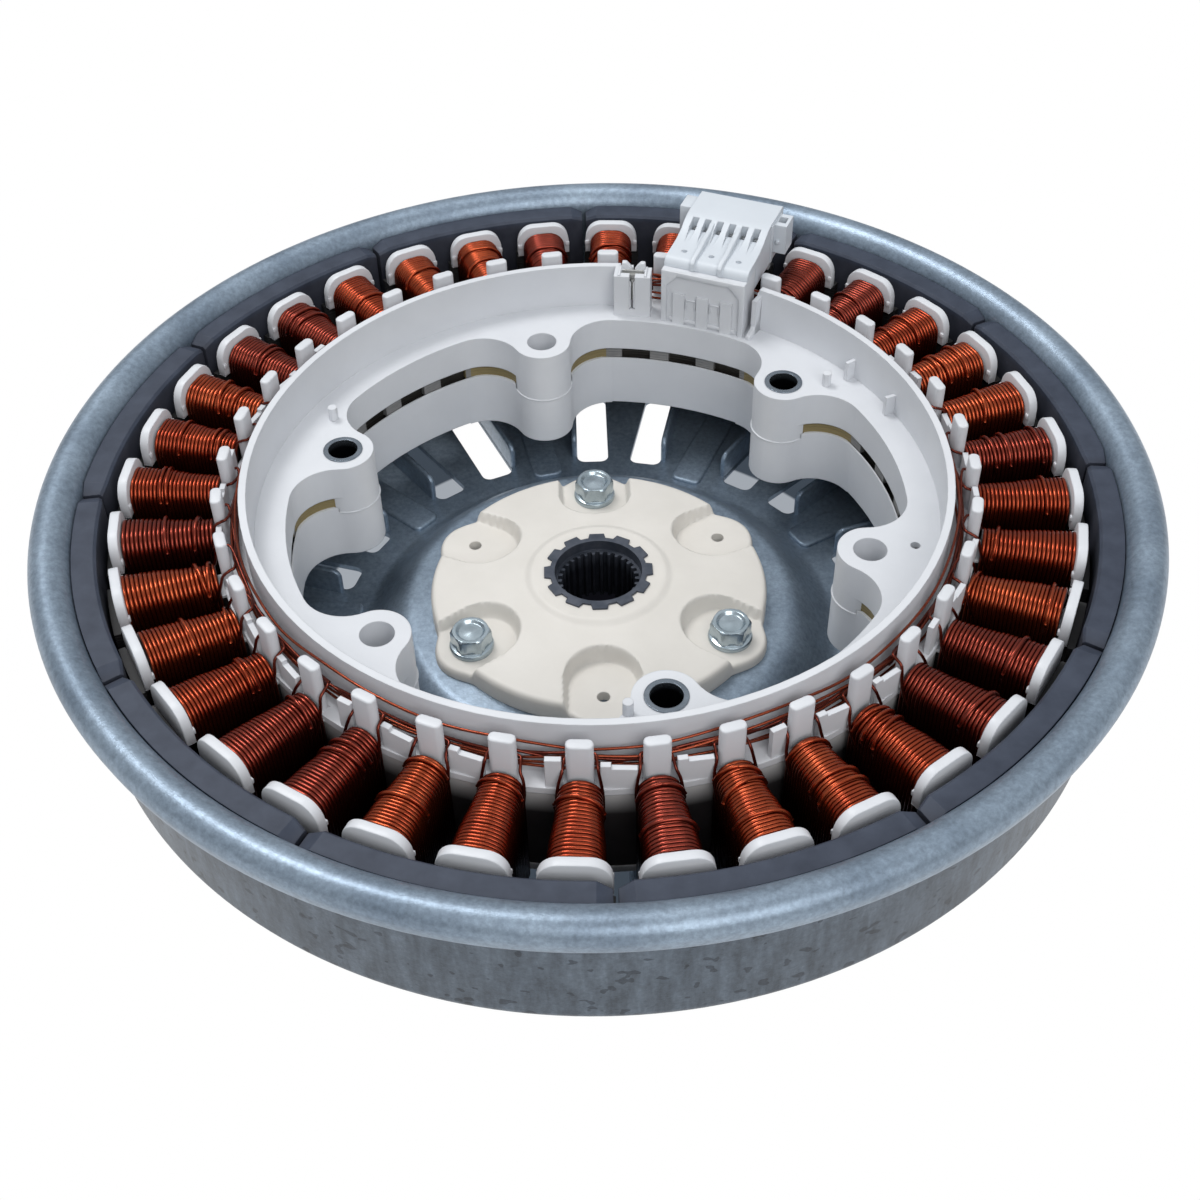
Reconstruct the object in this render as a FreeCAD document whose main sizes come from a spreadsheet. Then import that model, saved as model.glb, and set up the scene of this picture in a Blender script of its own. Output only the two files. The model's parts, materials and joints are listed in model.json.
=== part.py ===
import FreeCAD, Part
import math
import os
import re
import sys

import Sketcher

# Direct-drive motor of a washing machine: a wound stator seated in its outer rotor.
# Millimetres and degrees. The origin is on the motor's axis, at the underside of the
# rotor's floor, with the open side up. At an angle of zero a piece lies towards -Y,
# and angles grow anticlockwise seen from above.

NODE_FOLDER = "parts"

SIZES = {
    # Counts and the angle at which each half stands
    "tooth_count": 36,
    "magnet_count": 12,
    "stator_turn": -2.86,
    "rotor_turn": 1.0,
    # How far a cut runs past what it cuts
    "cut_margin": 1.0,
    # Pressed steel cup of the rotor
    "sheet_thickness": 1.8,
    "sheet_bend": 0.72,
    "wall_inner_radius": 138.1,
    "rim_top": 63.9,
    "rim_roll_radius": 6.0,
    "rim_edge_radius": 4.5,
    "rim_edge_drop": 3.3,
    "seat_height": 18.4,
    "seat_inner_radius": 131.4,
    "cone_top_height": 13.0,
    "floor_radius": 114.0,
    "slope_foot_radius": 68.0,
    "plateau_radius": 55.0,
    "plateau_height": 13.7,
    "hub_opening_radius": 22.0,
    # Cooling louvres and the ribs between their pairs
    "louvre_pairs": 10,
    "louvre_phase": 29.5,
    "louvre_half_angle": 6.3,
    "louvre_inner_radius": 76.3,
    "louvre_length": 34.7,
    "louvre_width": 10.1,
    "fin_height": 9.0,
    "fin_setback": 2.2,
    "rib_inner_radius": 70.5,
    "rib_length": 41.0,
    "rib_width": 9.6,
    "rib_height": 1.1,
    # Magnets
    "magnet_inner_radius": 131.7,
    "magnet_top": 59.6,
    "magnet_half_angle": 14.75,
    "magnet_end_taper": 0.9,
    "glue_gap": 0.15,
    # Moulded hub plate and its bolts
    "hub_bottom_radius": 49.0,
    "hub_edge_radius": 47.6,
    "hub_edge_height": 20.0,
    "hub_crown_height": 23.2,
    "hub_ring_radius": 20.4,
    "hub_ring_height": 24.2,
    "hub_ring_bevel": 1.6,
    "hub_spigot_bottom": 8.0,
    "spigot_clearance": 0.3,
    "hub_pocket_count": 6,
    "bolt_turn": 60.0,
    "hub_pocket_radius": 10.2,
    "hub_pocket_place": 38.0,
    "hub_pocket_floor": 16.9,
    "hub_lobe_radius": 10.4,
    "hub_lobe_top": 19.6,
    "bolt_circle_radius": 41.4,
    "bolt_shank_radius": 3.0,
    "bolt_clearance": 0.2,
    "bolt_shank_bottom": 6.5,
    "bolt_flange_radius": 6.2,
    "bolt_flange_thickness": 1.4,
    "bolt_head_flats": 10.0,
    "bolt_head_height": 6.4,
    "locating_hole_radius": 1.8,
    # Splined steel bush
    "bush_top": 24.8,
    "bush_bottom": 5.0,
    "bush_radius": 13.8,
    "bush_tooth_count": 12,
    "bush_tooth_reach": 1.6,
    "bush_tooth_width": 5.2,
    "bush_tooth_tip_width": 4.2,
    "bush_tooth_depth": 6.5,
    "counterbore_radius": 12.4,
    "counterbore_depth": 3.4,
    "spline_bore_radius": 10.4,
    "spline_count": 30,
    "spline_depth": 1.2,
    "spline_root_width": 1.2,
    "spline_mouth_width": 1.6,
    # Laminated core
    "core_bottom": 22.6,
    "core_top": 49.8,
    "yoke_inner_radius": 86.3,
    "yoke_outer_radius": 98.8,
    "tooth_width": 6.4,
    "tooth_tip_radius": 131.0,
    "tooth_tip_width": 17.6,
    "tooth_tip_thickness": 1.7,
    "tooth_tip_slope": 1.4,
    "yoke_notch_width": 3.2,
    "yoke_notch_depth": 1.4,
    # Moulded insulators
    "deck_thickness": 2.0,
    "deck_outer_radius": 101.6,
    "lobe_radius": 84.0,
    "skirt_thickness": 2.0,
    "upper_skirt_bottom": 41.3,
    "lower_skirt_top": 37.7,
    "ring_wall_radius": 94.3,
    "ring_wall_thickness": 2.0,
    "ring_wall_top": 65.8,
    "lug_count": 6,
    "lug_phase": 15.0,
    "lug_circle_radius": 74.9,
    "lug_radius": 8.6,
    "lug_corner_radius": 12.0,
    "lug_seam": 36.0,
    "lug_bottom": 20.2,
    "lug_clearance": 0.3,
    "lug_hole_radius": 4.45,
    "sleeve_outer_radius": 5.5,
    "sleeve_inner_radius": 4.15,
    "sleeve_stand": 0.3,
    "liner_thickness": 0.8,
    "liner_side_width": 8.4,
    "cap_inner_radius": 126.2,
    "cap_thickness": 2.5,
    "cap_half_width": 8.35,
    "cap_flat_half_width": 3.9,
    "cap_shoulder": 5.6,
    "upper_cap_top": 60.0,
    "lower_cap_bottom": 12.4,
    "post_radius": 100.0,
    "post_width": 6.4,
    "post_depth": 3.0,
    "post_top": 66.2,
    # Low walls that guide the wires between the posts
    "guide_radius": 99.4,
    "guide_thickness": 1.5,
    "guide_block_start": 4.6,
    "guide_block_end": 7.0,
    "guide_block_height": 7.5,
    "guide_bar_end": 13.0,
    "guide_bar_height": 6.6,
    "guide_wedge_start": 4.2,
    "guide_wedge_end": 8.0,
    "guide_wedge_height": 9.1,
    # Coils
    "coil_inner_radius": 102.0,
    "coil_outer_radius": 126.0,
    "coil_inner_width": 10.2,
    "coil_outer_width": 13.2,
    "coil_inner_half_height": 20.4,
    "coil_outer_half_height": 21.9,
    "coil_corner": 3.0,
    "coil_clearance": 0.1,
    # Crossover wires between the ring wall and the posts
    "wire_size": 1.0,
    "wire_post_gap": 0.3,
    "wire_lowest": 53.2,
    "wire_spacing": 2.3,
    # Tower, connector and terminal on the upper insulator
    "connector_tooth": 16,
    "tower_front_radius": 85.6,
    "tower_back_radius": 95.0,
    "tower_half_width": 13.2,
    "tower_wall": 1.6,
    "tower_top": 70.0,
    "tower_tab_width": 3.8,
    "tower_tab_pitch": 7.6,
    "tower_tab_relief": 0.7,
    "tower_tab_top": 62.5,
    "wall_gap_start": 150.0,
    "wall_gap_end": 177.4,
    "plug_clearance": 0.2,
    "plug_bottom": 54.0,
    "housing_outer_radius": 121.8,
    "housing_bottom": 63.0,
    "housing_top": 76.7,
    "housing_front_height": 72.4,
    "housing_ramp_start": 103.5,
    "housing_ramp_height": 74.2,
    "housing_deck_start": 109.0,
    "ear_inner_radius": 112.2,
    "ear_length": 7.0,
    "ear_width": 4.2,
    "ear_top": 75.8,
    "ear_bottom": 65.8,
    "window_count": 6,
    "window_pitch": 3.9,
    "window_width": 1.9,
    "window_radius": 103.2,
    "window_length": 3.4,
    "window_depth": 2.6,
    "ramp_rib_offset": 4.0,
    "ramp_rib_width": 1.6,
    "ramp_rib_height": 1.1,
    "contact_width": 1.2,
    "contact_height": 1.4,
    "terminal_angle": 174.9,
    "terminal_front_radius": 86.6,
    "terminal_depth": 6.0,
    "terminal_half_width": 5.6,
    "terminal_slot": 1.7,
    "terminal_slot_depth": 11.5,
    "clip_half_width": 3.9,
    "clip_thickness": 1.1,
    "clip_height": 8.5,
    "clip_drop": 0.6,
    "clip_clearance": 0.15,
    "gusset_angle": 149.9,
    "gusset_foot": 6.6,
    "gusset_top": 63.6,
    "pin_thickness": 2.6,
    "pin_bevel": 0.8,
    "pin_height": 4.2,
    "left_pin_radius": 84.0,
    "left_pin_angle": 246.5,
    "front_pin_radius": 78.8,
    "front_pin_angle": 7.5,
    "right_pin_radius": 83.6,
    "right_pin_angle": 128.5,
    "blade_radius": 90.8,
    "blade_length": 3.0,
    "blade_thickness": 1.2,
    "blade_height": 6.2,
    "first_blade_angle": 115.1,
    "second_blade_angle": 127.3,
    "deck_hole_radius": 86.1,
    "deck_hole_angle": 78.2,
    "deck_hole_size": 1.3,
}

doc = FreeCAD.newDocument("WashingMachineMotor")
sheet = doc.addObject("Spreadsheet::Sheet", "Sizes")
for row, (alias, number) in enumerate(SIZES.items(), start=1):
    sheet.set(f"A{row}", alias)
    sheet.set(f"B{row}", str(number))
    sheet.setAlias(f"B{row}", alias)
doc.recompute()


# Expressions over the sheet


def bound(text):
    """The expression with each size's name pointed at its cell in the sheet."""
    return re.sub(r"[a-z]+(?:_[a-z]+)+", lambda word: "Sizes." + word.group(0), str(text))


def size(text):
    """The number that an expression over the sheet gives now."""
    found = sheet.evalExpression(bound(text))
    return float(getattr(found, "Value", found))


# Bodies, planes and sketches


def new_body(label, turn=None):
    """A body named after its piece, turned about the motor's axis by an expression."""
    body = doc.addObject("PartDesign::Body", label)
    body.Label = label
    body.Placement = FreeCAD.Placement(FreeCAD.Vector(0, 0, 0), FreeCAD.Rotation(FreeCAD.Vector(0, 0, 1), 1))
    body.setExpression("Placement.Rotation.Angle", bound(turn if turn else "stator_turn"))
    return body


def origin_feature(body, role):
    """One of the body's own origin planes or axes."""
    return next(feature for feature in body.Origin.OriginFeatures if feature.Role == role)


def flat_sketch(body, name, height, turn="0"):
    """A level sketch at a height, turned about the axis so that -Y in it is outward."""
    sketch = body.newObject("Sketcher::SketchObject", f"{body.Name}_{name}")
    sketch.AttachmentSupport = [(origin_feature(body, "XY_Plane"), "")]
    sketch.MapMode = "FlatFace"
    sketch.AttachmentOffset = FreeCAD.Placement(
        FreeCAD.Vector(0, 0, 0), FreeCAD.Rotation(FreeCAD.Vector(0, 0, 1), 1)
    )
    sketch.setExpression("AttachmentOffset.Base.z", bound(height))
    sketch.setExpression("AttachmentOffset.Rotation.Angle", bound(turn))
    return sketch


def upright_sketch(body, name, role="XZ_Plane", offset="0"):
    """A standing sketch: XZ_Plane faces outward (-Y), YZ_Plane shows the side."""
    sketch = body.newObject("Sketcher::SketchObject", f"{body.Name}_{name}")
    sketch.AttachmentSupport = [(origin_feature(body, role), "")]
    sketch.MapMode = "FlatFace"
    sketch.setExpression("AttachmentOffset.Base.z", bound(offset))
    return sketch


def dimension(sketch, kind, geometry, point, text):
    """One dimension from the sketch's origin to a point, bound to its expression."""
    number = sketch.addConstraint(Sketcher.Constraint(kind, -1, 1, geometry, point, size(text)))
    sketch.setExpression(f"Constraints[{number}]", bound(text))


def radius_dimension(sketch, geometry, text):
    """A radius bound to its expression."""
    number = sketch.addConstraint(Sketcher.Constraint("Radius", geometry, size(text)))
    sketch.setExpression(f"Constraints[{number}]", bound(text))


def arc_from(start, end, radius):
    """The shorter anticlockwise arc from start to end."""
    chord = end - start
    middle = (start + end) * 0.5
    rise = math.sqrt(max(radius**2 - (chord.Length / 2) ** 2, 0.0))
    left = FreeCAD.Vector(-chord.y, chord.x, 0).normalize()
    centre = middle + left * rise
    first = math.atan2(start.y - centre.y, start.x - centre.x)
    last = math.atan2(end.y - centre.y, end.x - centre.x)
    circle = Part.Circle(centre, FreeCAD.Vector(0, 0, 1), radius)
    return Part.ArcOfCircle(circle, first, last)


def outline(sketch, corners):
    """A closed outline through (x, y) corners. A third value is the radius of the arc
    that arrives there, and a fourth of -1 makes that arc clockwise."""
    points = [FreeCAD.Vector(size(corner[0]), size(corner[1]), 0) for corner in corners]
    edges = []
    for index, corner in enumerate(corners):
        start = points[index - 1]
        end = points[index]
        if len(corner) == 2:
            edges.append((sketch.addGeometry(Part.LineSegment(start, end)), 1, 2))
        elif len(corner) == 4:
            edges.append((sketch.addGeometry(arc_from(end, start, size(corner[2]))), 2, 1))
        else:
            edges.append((sketch.addGeometry(arc_from(start, end, size(corner[2]))), 1, 2))
    for index, (geometry, first, last) in enumerate(edges):
        following = edges[(index + 1) % len(edges)]
        sketch.addConstraint(Sketcher.Constraint("Coincident", geometry, last, following[0], following[1]))
        dimension(sketch, "DistanceX", geometry, last, corners[index][0])
        dimension(sketch, "DistanceY", geometry, last, corners[index][1])
        if len(corners[index]) > 2:
            radius_dimension(sketch, geometry, corners[index][2])
    return sketch


def rectangle(sketch, left, bottom, right, top):
    """A rectangle from its sides' expressions."""
    return outline(sketch, [(left, bottom), (right, bottom), (right, top), (left, top)])


def bevelled_rectangle(sketch, left, bottom, right, top, corner):
    """A rectangle with its four corners cut off."""
    return outline(
        sketch,
        [
            (f"{right} - {corner}", bottom),
            (right, f"{bottom} + {corner}"),
            (right, f"{top} - {corner}"),
            (f"{right} - {corner}", top),
            (f"{left} + {corner}", top),
            (left, f"{top} - {corner}"),
            (left, f"{bottom} + {corner}"),
            (f"{left} + {corner}", bottom),
        ],
    )


def facets(across, along, radius, first, last, count):
    """Corners that follow a curve about a centre in straight facets, between two angles."""
    turns = [first + (last - first) * step / count for step in range(count + 1)]
    return [(f"{across} + {radius} * cos({turn:g})", f"{along} + {radius} * sin({turn:g})") for turn in turns]


def circle(sketch, across, along, radius):
    """A full circle from expressions."""
    centre = FreeCAD.Vector(size(across), size(along), 0)
    geometry = sketch.addGeometry(Part.Circle(centre, FreeCAD.Vector(0, 0, 1), size(radius)))
    dimension(sketch, "DistanceX", geometry, 3, across)
    dimension(sketch, "DistanceY", geometry, 3, along)
    radius_dimension(sketch, geometry, radius)
    return sketch


# Features


def feature(kind, sketch, name):
    """A feature of the sketch's own body that uses the sketch as its profile."""
    body = sketch.getParentGeoFeatureGroup()
    made = body.newObject(f"PartDesign::{kind}", f"{body.Name}_{name}")
    made.Profile = sketch
    sketch.Visibility = False
    return made


def pad(sketch, name, length, midplane=False):
    """Material from the sketch's plane along its normal."""
    made = feature("Pad", sketch, name)
    made.setExpression("Length", bound(length))
    made.Midplane = midplane
    doc.recompute()
    return made


def pocket(sketch, name, length):
    """A cut that goes up from a level sketch."""
    before = sketch.getParentGeoFeatureGroup().Shape.Volume
    made = feature("Pocket", sketch, name)
    made.Reversed = True
    made.setExpression("Length", bound(length))
    doc.recompute()
    if not made.Shape.Volume < before:
        sys.exit(f"{made.Name} cut nothing")
    return made


def revolve(sketch, name):
    """A full turn about the motor's axis."""
    made = feature("Revolution", sketch, name)
    made.ReferenceAxis = (sketch, ["V_Axis"])
    made.Angle = 360
    doc.recompute()
    return made


def around(body, name, features, count, span="360"):
    """The features repeated evenly about the motor's axis, over a span of degrees."""
    pattern = body.newObject("PartDesign::PolarPattern", f"{body.Name}_{name}")
    pattern.Originals = features
    pattern.Axis = (origin_feature(body, "Z_Axis"), [""])
    pattern.setExpression("Angle", bound(span))
    pattern.setExpression("Occurrences", bound(count))
    body.Tip = pattern
    doc.recompute()
    return pattern


# Rotor


def make_rotor_cup():
    """The pressed cup: rolled rim, wall, magnet seat, cone, louvred floor and plateau."""
    body = new_body("rotor_cup", "rotor_turn")
    roll = "(wall_inner_radius + rim_roll_radius)"
    roll_height = "(rim_top - rim_roll_radius)"
    edge = "(rim_top - rim_edge_radius)"
    lip = f"({roll} + rim_edge_radius - sheet_thickness)"
    outer = [
        ("hub_opening_radius", "plateau_height - sheet_thickness"),
        ("plateau_radius - sheet_bend", "plateau_height - sheet_thickness"),
        ("slope_foot_radius - sheet_bend", "0"),
        ("floor_radius + sheet_thickness / 2", "0"),
        ("seat_inner_radius + sheet_thickness", "cone_top_height - sheet_bend * 2"),
        ("seat_inner_radius + sheet_thickness", "seat_height - sheet_thickness"),
        *facets("wall_inner_radius", "seat_height", "sheet_thickness", -90, 0, 1),
        *facets(roll, roll_height, "(rim_roll_radius - sheet_thickness)", 180, 90, 1),
        *facets(roll, edge, "(rim_edge_radius - sheet_thickness)", 90, 0, 1)[1:],
        (f"{lip} - sheet_thickness / 2", f"{edge} - rim_edge_drop + sheet_bend"),
        (lip, f"{edge} - rim_edge_drop"),
        *facets(roll, edge, "rim_edge_radius", 0, 90, 2),
    ]
    inner = [
        *facets(roll, roll_height, "rim_roll_radius", 90, 180, 2)[1:],
        ("wall_inner_radius", "seat_height"),
        ("seat_inner_radius", "seat_height"),
        ("seat_inner_radius", "cone_top_height"),
        ("floor_radius", "sheet_thickness"),
        ("slope_foot_radius", "sheet_thickness"),
        ("plateau_radius", "plateau_height"),
        ("hub_opening_radius", "plateau_height"),
    ]
    revolve(outline(upright_sketch(body, "section"), outer + inner), "cup")

    for name, turn, radius in (
        ("locating_hole", "0", "locating_hole_radius"),
        ("bolt_hole", "bolt_turn", "bolt_shank_radius + bolt_clearance"),
    ):
        sketch = circle(flat_sketch(body, f"{name}_outline", "0", turn), "0", "-bolt_circle_radius", radius)
        hole = pocket(sketch, name, "plateau_height + cut_margin")
        around(body, f"{name}s", [hole], "hub_pocket_count / 2")

    repeated = []
    for side, name in ((-1, "left"), (1, "right")):
        turn = f"louvre_phase + louvre_half_angle * {side}"
        inward = "-louvre_inner_radius"
        outward = "-(louvre_inner_radius + louvre_length)"
        half = "louvre_width / 2"
        opening = flat_sketch(body, f"{name}_opening", "-sheet_thickness", turn)
        rectangle(opening, f"-{half}", outward, half, inward)
        repeated.append(pocket(opening, f"{name}_louvre", "sheet_thickness * 3"))
        fin = flat_sketch(body, f"{name}_fin_outline", "sheet_thickness / 2", turn)
        near = f"{side} * {half}"
        far = f"{side} * ({half} + sheet_thickness)"
        first, last = (far, near) if side < 0 else (near, far)
        rectangle(fin, first, f"{outward} + fin_setback", last, f"{inward} - fin_setback")
        repeated.append(pad(fin, f"{name}_fin", "fin_height + sheet_thickness / 2"))
    rib_turn = "louvre_phase + 180 / louvre_pairs"
    rib = flat_sketch(body, "rib_outline", "sheet_thickness / 2", rib_turn)
    rectangle(rib, "-rib_width / 2", "-(rib_inner_radius + rib_length)", "rib_width / 2", "-rib_inner_radius")
    repeated.append(pad(rib, "rib", "rib_height + sheet_thickness / 2"))
    groove = flat_sketch(body, "groove_outline", "0", rib_turn)
    rectangle(
        groove,
        "-rib_width / 2 + sheet_thickness",
        "-(rib_inner_radius + rib_length) + sheet_thickness",
        "rib_width / 2 - sheet_thickness",
        "-rib_inner_radius - sheet_thickness",
    )
    repeated.append(pocket(groove, "groove", "rib_height"))
    around(body, "louvres", repeated, "louvre_pairs")
    return body


def make_magnets():
    """The ring of ferrite segments glued to the wall, standing on the cup's seat."""
    body = new_body("magnets", "rotor_turn + 180 / magnet_count")
    outer = "(wall_inner_radius - glue_gap)"
    inner_angle = "(magnet_half_angle - magnet_end_taper)"
    sketch = flat_sketch(body, "section", "seat_height")
    outline(
        sketch,
        [
            (f"-{outer} * sin(magnet_half_angle)", f"-{outer} * cos(magnet_half_angle)"),
            (f"{outer} * sin(magnet_half_angle)", f"-{outer} * cos(magnet_half_angle)", outer),
            (f"magnet_inner_radius * sin{inner_angle}", f"-magnet_inner_radius * cos{inner_angle}"),
            (
                f"-magnet_inner_radius * sin{inner_angle}",
                f"-magnet_inner_radius * cos{inner_angle}",
                "magnet_inner_radius",
                -1,
            ),
        ],
    )
    around(body, "ring", [pad(sketch, "segment", "magnet_top - seat_height")], "magnet_count")
    return body


def bush_tooth(sketch):
    """The outline of one outer tooth of the bush, with its root inside the blank."""
    root = "(bush_radius - 1)"
    tip = "(bush_radius + bush_tooth_reach)"
    return outline(
        sketch,
        [
            ("-bush_tooth_width / 2", f"-{root}"),
            ("-bush_tooth_tip_width / 2", f"-{tip}"),
            ("bush_tooth_tip_width / 2", f"-{tip}"),
            ("bush_tooth_width / 2", f"-{root}"),
        ],
    )


def make_hub_plate():
    """The moulded plate: shallow cone, raised ring, lobes and pockets for the bolts."""
    body = new_body("hub_plate", "rotor_turn")
    spigot = "hub_opening_radius - spigot_clearance"
    section = [
        ("bush_radius", "hub_spigot_bottom"),
        (spigot, "hub_spigot_bottom"),
        (spigot, "plateau_height"),
        ("hub_bottom_radius", "plateau_height"),
        ("hub_edge_radius", "hub_edge_height"),
        ("hub_ring_radius", "hub_crown_height"),
        ("hub_ring_radius - hub_ring_bevel", "hub_ring_height"),
        ("bush_radius", "hub_ring_height"),
    ]
    revolve(outline(upright_sketch(body, "section"), section), "plate")

    lobe_sketch = flat_sketch(body, "lobe_outline", "plateau_height")
    circle(lobe_sketch, "0", "-bolt_circle_radius", "hub_lobe_radius")
    lobe = pad(lobe_sketch, "lobe", "hub_lobe_top - plateau_height")
    around(body, "lobes", [lobe], "hub_pocket_count")
    pocket_sketch = flat_sketch(body, "pocket_outline", "hub_pocket_floor")
    bolt_pocket = pocket(
        circle(pocket_sketch, "0", "-hub_pocket_place", "hub_pocket_radius"), "bolt_pocket", "hub_ring_height"
    )
    around(body, "bolt_pockets", [bolt_pocket], "hub_pocket_count")
    locating_sketch = flat_sketch(body, "locating_outline", "0")
    circle(locating_sketch, "0", "-bolt_circle_radius", "locating_hole_radius")
    locating = pocket(locating_sketch, "locating_hole", "hub_ring_height")
    around(body, "locating_holes", [locating], "hub_pocket_count / 2")
    shank_sketch = flat_sketch(body, "shank_outline", "0", "bolt_turn")
    shank = pocket(
        circle(shank_sketch, "0", "-bolt_circle_radius", "bolt_shank_radius + bolt_clearance"),
        "shank_hole",
        "hub_ring_height",
    )
    around(body, "shank_holes", [shank], "hub_pocket_count / 2")
    socket_sketch = bush_tooth(flat_sketch(body, "socket_outline", "bush_top - bush_tooth_depth"))
    socket = pocket(socket_sketch, "tooth_socket", "bush_tooth_depth")
    around(body, "tooth_sockets", [socket], "bush_tooth_count")
    return body


def make_spline_bush():
    """The steel bush: outer teeth locked in the plate, counterbore and inner splines."""
    body = new_body("spline_bush", "rotor_turn")
    blank = circle(flat_sketch(body, "blank_outline", "bush_bottom"), "0", "0", "bush_radius")
    pad(blank, "blank", "bush_top - bush_bottom")
    tooth_sketch = flat_sketch(body, "tooth_outline", "bush_top - bush_tooth_depth")
    tooth = pad(bush_tooth(tooth_sketch), "tooth", "bush_tooth_depth")
    around(body, "teeth", [tooth], "bush_tooth_count")
    bore_sketch = circle(flat_sketch(body, "bore_outline", "0"), "0", "0", "spline_bore_radius")
    pocket(bore_sketch, "bore", "bush_top + cut_margin")
    counterbore_sketch = flat_sketch(body, "counterbore_outline", "bush_top - counterbore_depth")
    circle(counterbore_sketch, "0", "0", "counterbore_radius")
    pocket(counterbore_sketch, "counterbore", "counterbore_depth + cut_margin")
    groove = outline(
        flat_sketch(body, "groove_outline", "0"),
        [
            ("-spline_mouth_width / 2", "-spline_bore_radius + spline_depth"),
            ("-spline_root_width / 2", "-(spline_bore_radius + spline_depth)"),
            ("spline_root_width / 2", "-(spline_bore_radius + spline_depth)"),
            ("spline_mouth_width / 2", "-spline_bore_radius + spline_depth"),
        ],
    )
    around(body, "splines", [pocket(groove, "spline", "bush_top + cut_margin")], "spline_count")
    return body


def make_hub_bolts():
    """Three flanged hexagon bolts, in the pockets between the locating holes."""
    body = new_body("hub_bolts", "rotor_turn + bolt_turn")
    along = "-bolt_circle_radius"
    shank = pad(
        circle(flat_sketch(body, "shank_outline", "bolt_shank_bottom"), "0", along, "bolt_shank_radius"),
        "shank",
        "hub_pocket_floor - bolt_shank_bottom",
    )
    flange = pad(
        circle(flat_sketch(body, "flange_outline", "hub_pocket_floor"), "0", along, "bolt_flange_radius"),
        "flange",
        "bolt_flange_thickness",
    )
    corner = "(bolt_head_flats / 2 / cos(30))"
    hexagon = outline(
        flat_sketch(body, "head_outline", "hub_pocket_floor"),
        [(f"{corner} * cos({turn})", f"{along} + {corner} * sin({turn})") for turn in range(0, 360, 60)],
    )
    head = pad(hexagon, "head", "bolt_head_height")
    around(body, "bolts", [shank, flange, head], "hub_pocket_count / 2")
    return body


# Stator


def make_stator_core():
    """The laminated ring with its T-shaped teeth and the notches inside the yoke."""
    body = new_body("stator_core")
    ring = flat_sketch(body, "ring_outline", "core_bottom")
    circle(ring, "0", "0", "yoke_outer_radius")
    circle(ring, "0", "0", "yoke_inner_radius")
    pad(ring, "yoke", "core_top - core_bottom")
    half_tip = "tooth_tip_width / 2"
    tip_edge = f"-sqrt(tooth_tip_radius^2 - ({half_tip})^2)"
    tooth = outline(
        flat_sketch(body, "tooth_outline", "core_bottom"),
        [
            ("-tooth_width / 2", "-yoke_outer_radius + yoke_notch_depth"),
            ("-tooth_width / 2", f"{tip_edge} + tooth_tip_thickness + tooth_tip_slope"),
            (f"-{half_tip}", f"{tip_edge} + tooth_tip_thickness"),
            (f"-{half_tip}", tip_edge),
            (half_tip, tip_edge, "tooth_tip_radius"),
            (half_tip, f"{tip_edge} + tooth_tip_thickness"),
            ("tooth_width / 2", f"{tip_edge} + tooth_tip_thickness + tooth_tip_slope"),
            ("tooth_width / 2", "-yoke_outer_radius + yoke_notch_depth"),
        ],
    )
    tooth_pad = pad(tooth, "tooth", "core_top - core_bottom")
    notch = rectangle(
        flat_sketch(body, "notch_outline", "0"),
        "-yoke_notch_width / 2",
        "-yoke_inner_radius - yoke_notch_depth",
        "yoke_notch_width / 2",
        "-yoke_inner_radius + yoke_notch_depth",
    )
    notch_cut = pocket(notch, "notch", "core_top + cut_margin")
    around(body, "teeth", [tooth_pad, notch_cut], "tooth_count")
    return body


def lug_outline(sketch):
    """One mounting lug: a round nose that flows into the inner lobes on both sides."""
    reach = "(lobe_radius - lug_corner_radius)"
    span = "(lug_radius + lug_corner_radius)"
    turn = f"acos((lug_circle_radius^2 + {reach}^2 - {span}^2) / (2 * lug_circle_radius * {reach}))"
    corner_x = f"{reach} * sin({turn})"
    corner_y = f"(-{reach} * cos({turn}))"
    nose_x = f"{corner_x} * lug_radius / {span}"
    nose_y = f"(-lug_circle_radius + ({corner_y} + lug_circle_radius) * lug_radius / {span})"
    close = "(lobe_radius + skirt_thickness / 2)"
    return outline(
        sketch,
        [
            (f"-{close} * sin({turn})", f"-{close} * cos({turn})"),
            (f"{close} * sin({turn})", f"-{close} * cos({turn})", close),
            (f"lobe_radius * sin({turn})", f"-lobe_radius * cos({turn})"),
            (nose_x, nose_y, "lug_corner_radius", -1),
            (f"-{nose_x}", nose_y, "lug_radius"),
            (f"-lobe_radius * sin({turn})", f"-lobe_radius * cos({turn})", "lug_corner_radius", -1),
        ],
    )


def lug_circle(body, name, height, radius):
    """A circle about a lug's hole."""
    return circle(flat_sketch(body, name, height, "lug_phase"), "0", "-lug_circle_radius", radius)


def add_lugs(body, bottom, top, is_upper):
    """The six lugs between two heights. The upper boss stands on the lower lug, in a
    round recess of it that carries the slot between the skirts on to the lug's nose."""
    lug_sketch = lug_outline(flat_sketch(body, "lug_outline", bottom, "lug_phase"))
    lug = pad(lug_sketch, "lug", f"{top} - ({bottom})")
    if is_upper:
        boss = pad(lug_circle(body, "boss_outline", "lug_seam", "lug_radius"), "boss", f"{bottom} - lug_seam")
        around(body, "lugs", [lug, boss], "lug_count")
    else:
        recess_outline = lug_circle(body, "recess_outline", "lug_seam", "lug_radius + lug_clearance")
        recess = pocket(recess_outline, "recess", f"{top} - lug_seam + cut_margin")
        around(body, "lugs", [lug, recess], "lug_count")
    for name, turn, radius in (
        ("sleeve_hole", "lug_phase", "sleeve_outer_radius"),
        ("plain_hole", "lug_phase + 360 / lug_count", "lug_hole_radius"),
    ):
        sketch = circle(flat_sketch(body, f"{name}_outline", "0", turn), "0", "-lug_circle_radius", radius)
        around(body, f"{name}s", [pocket(sketch, name, "post_top")], "lug_count / 2")


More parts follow.
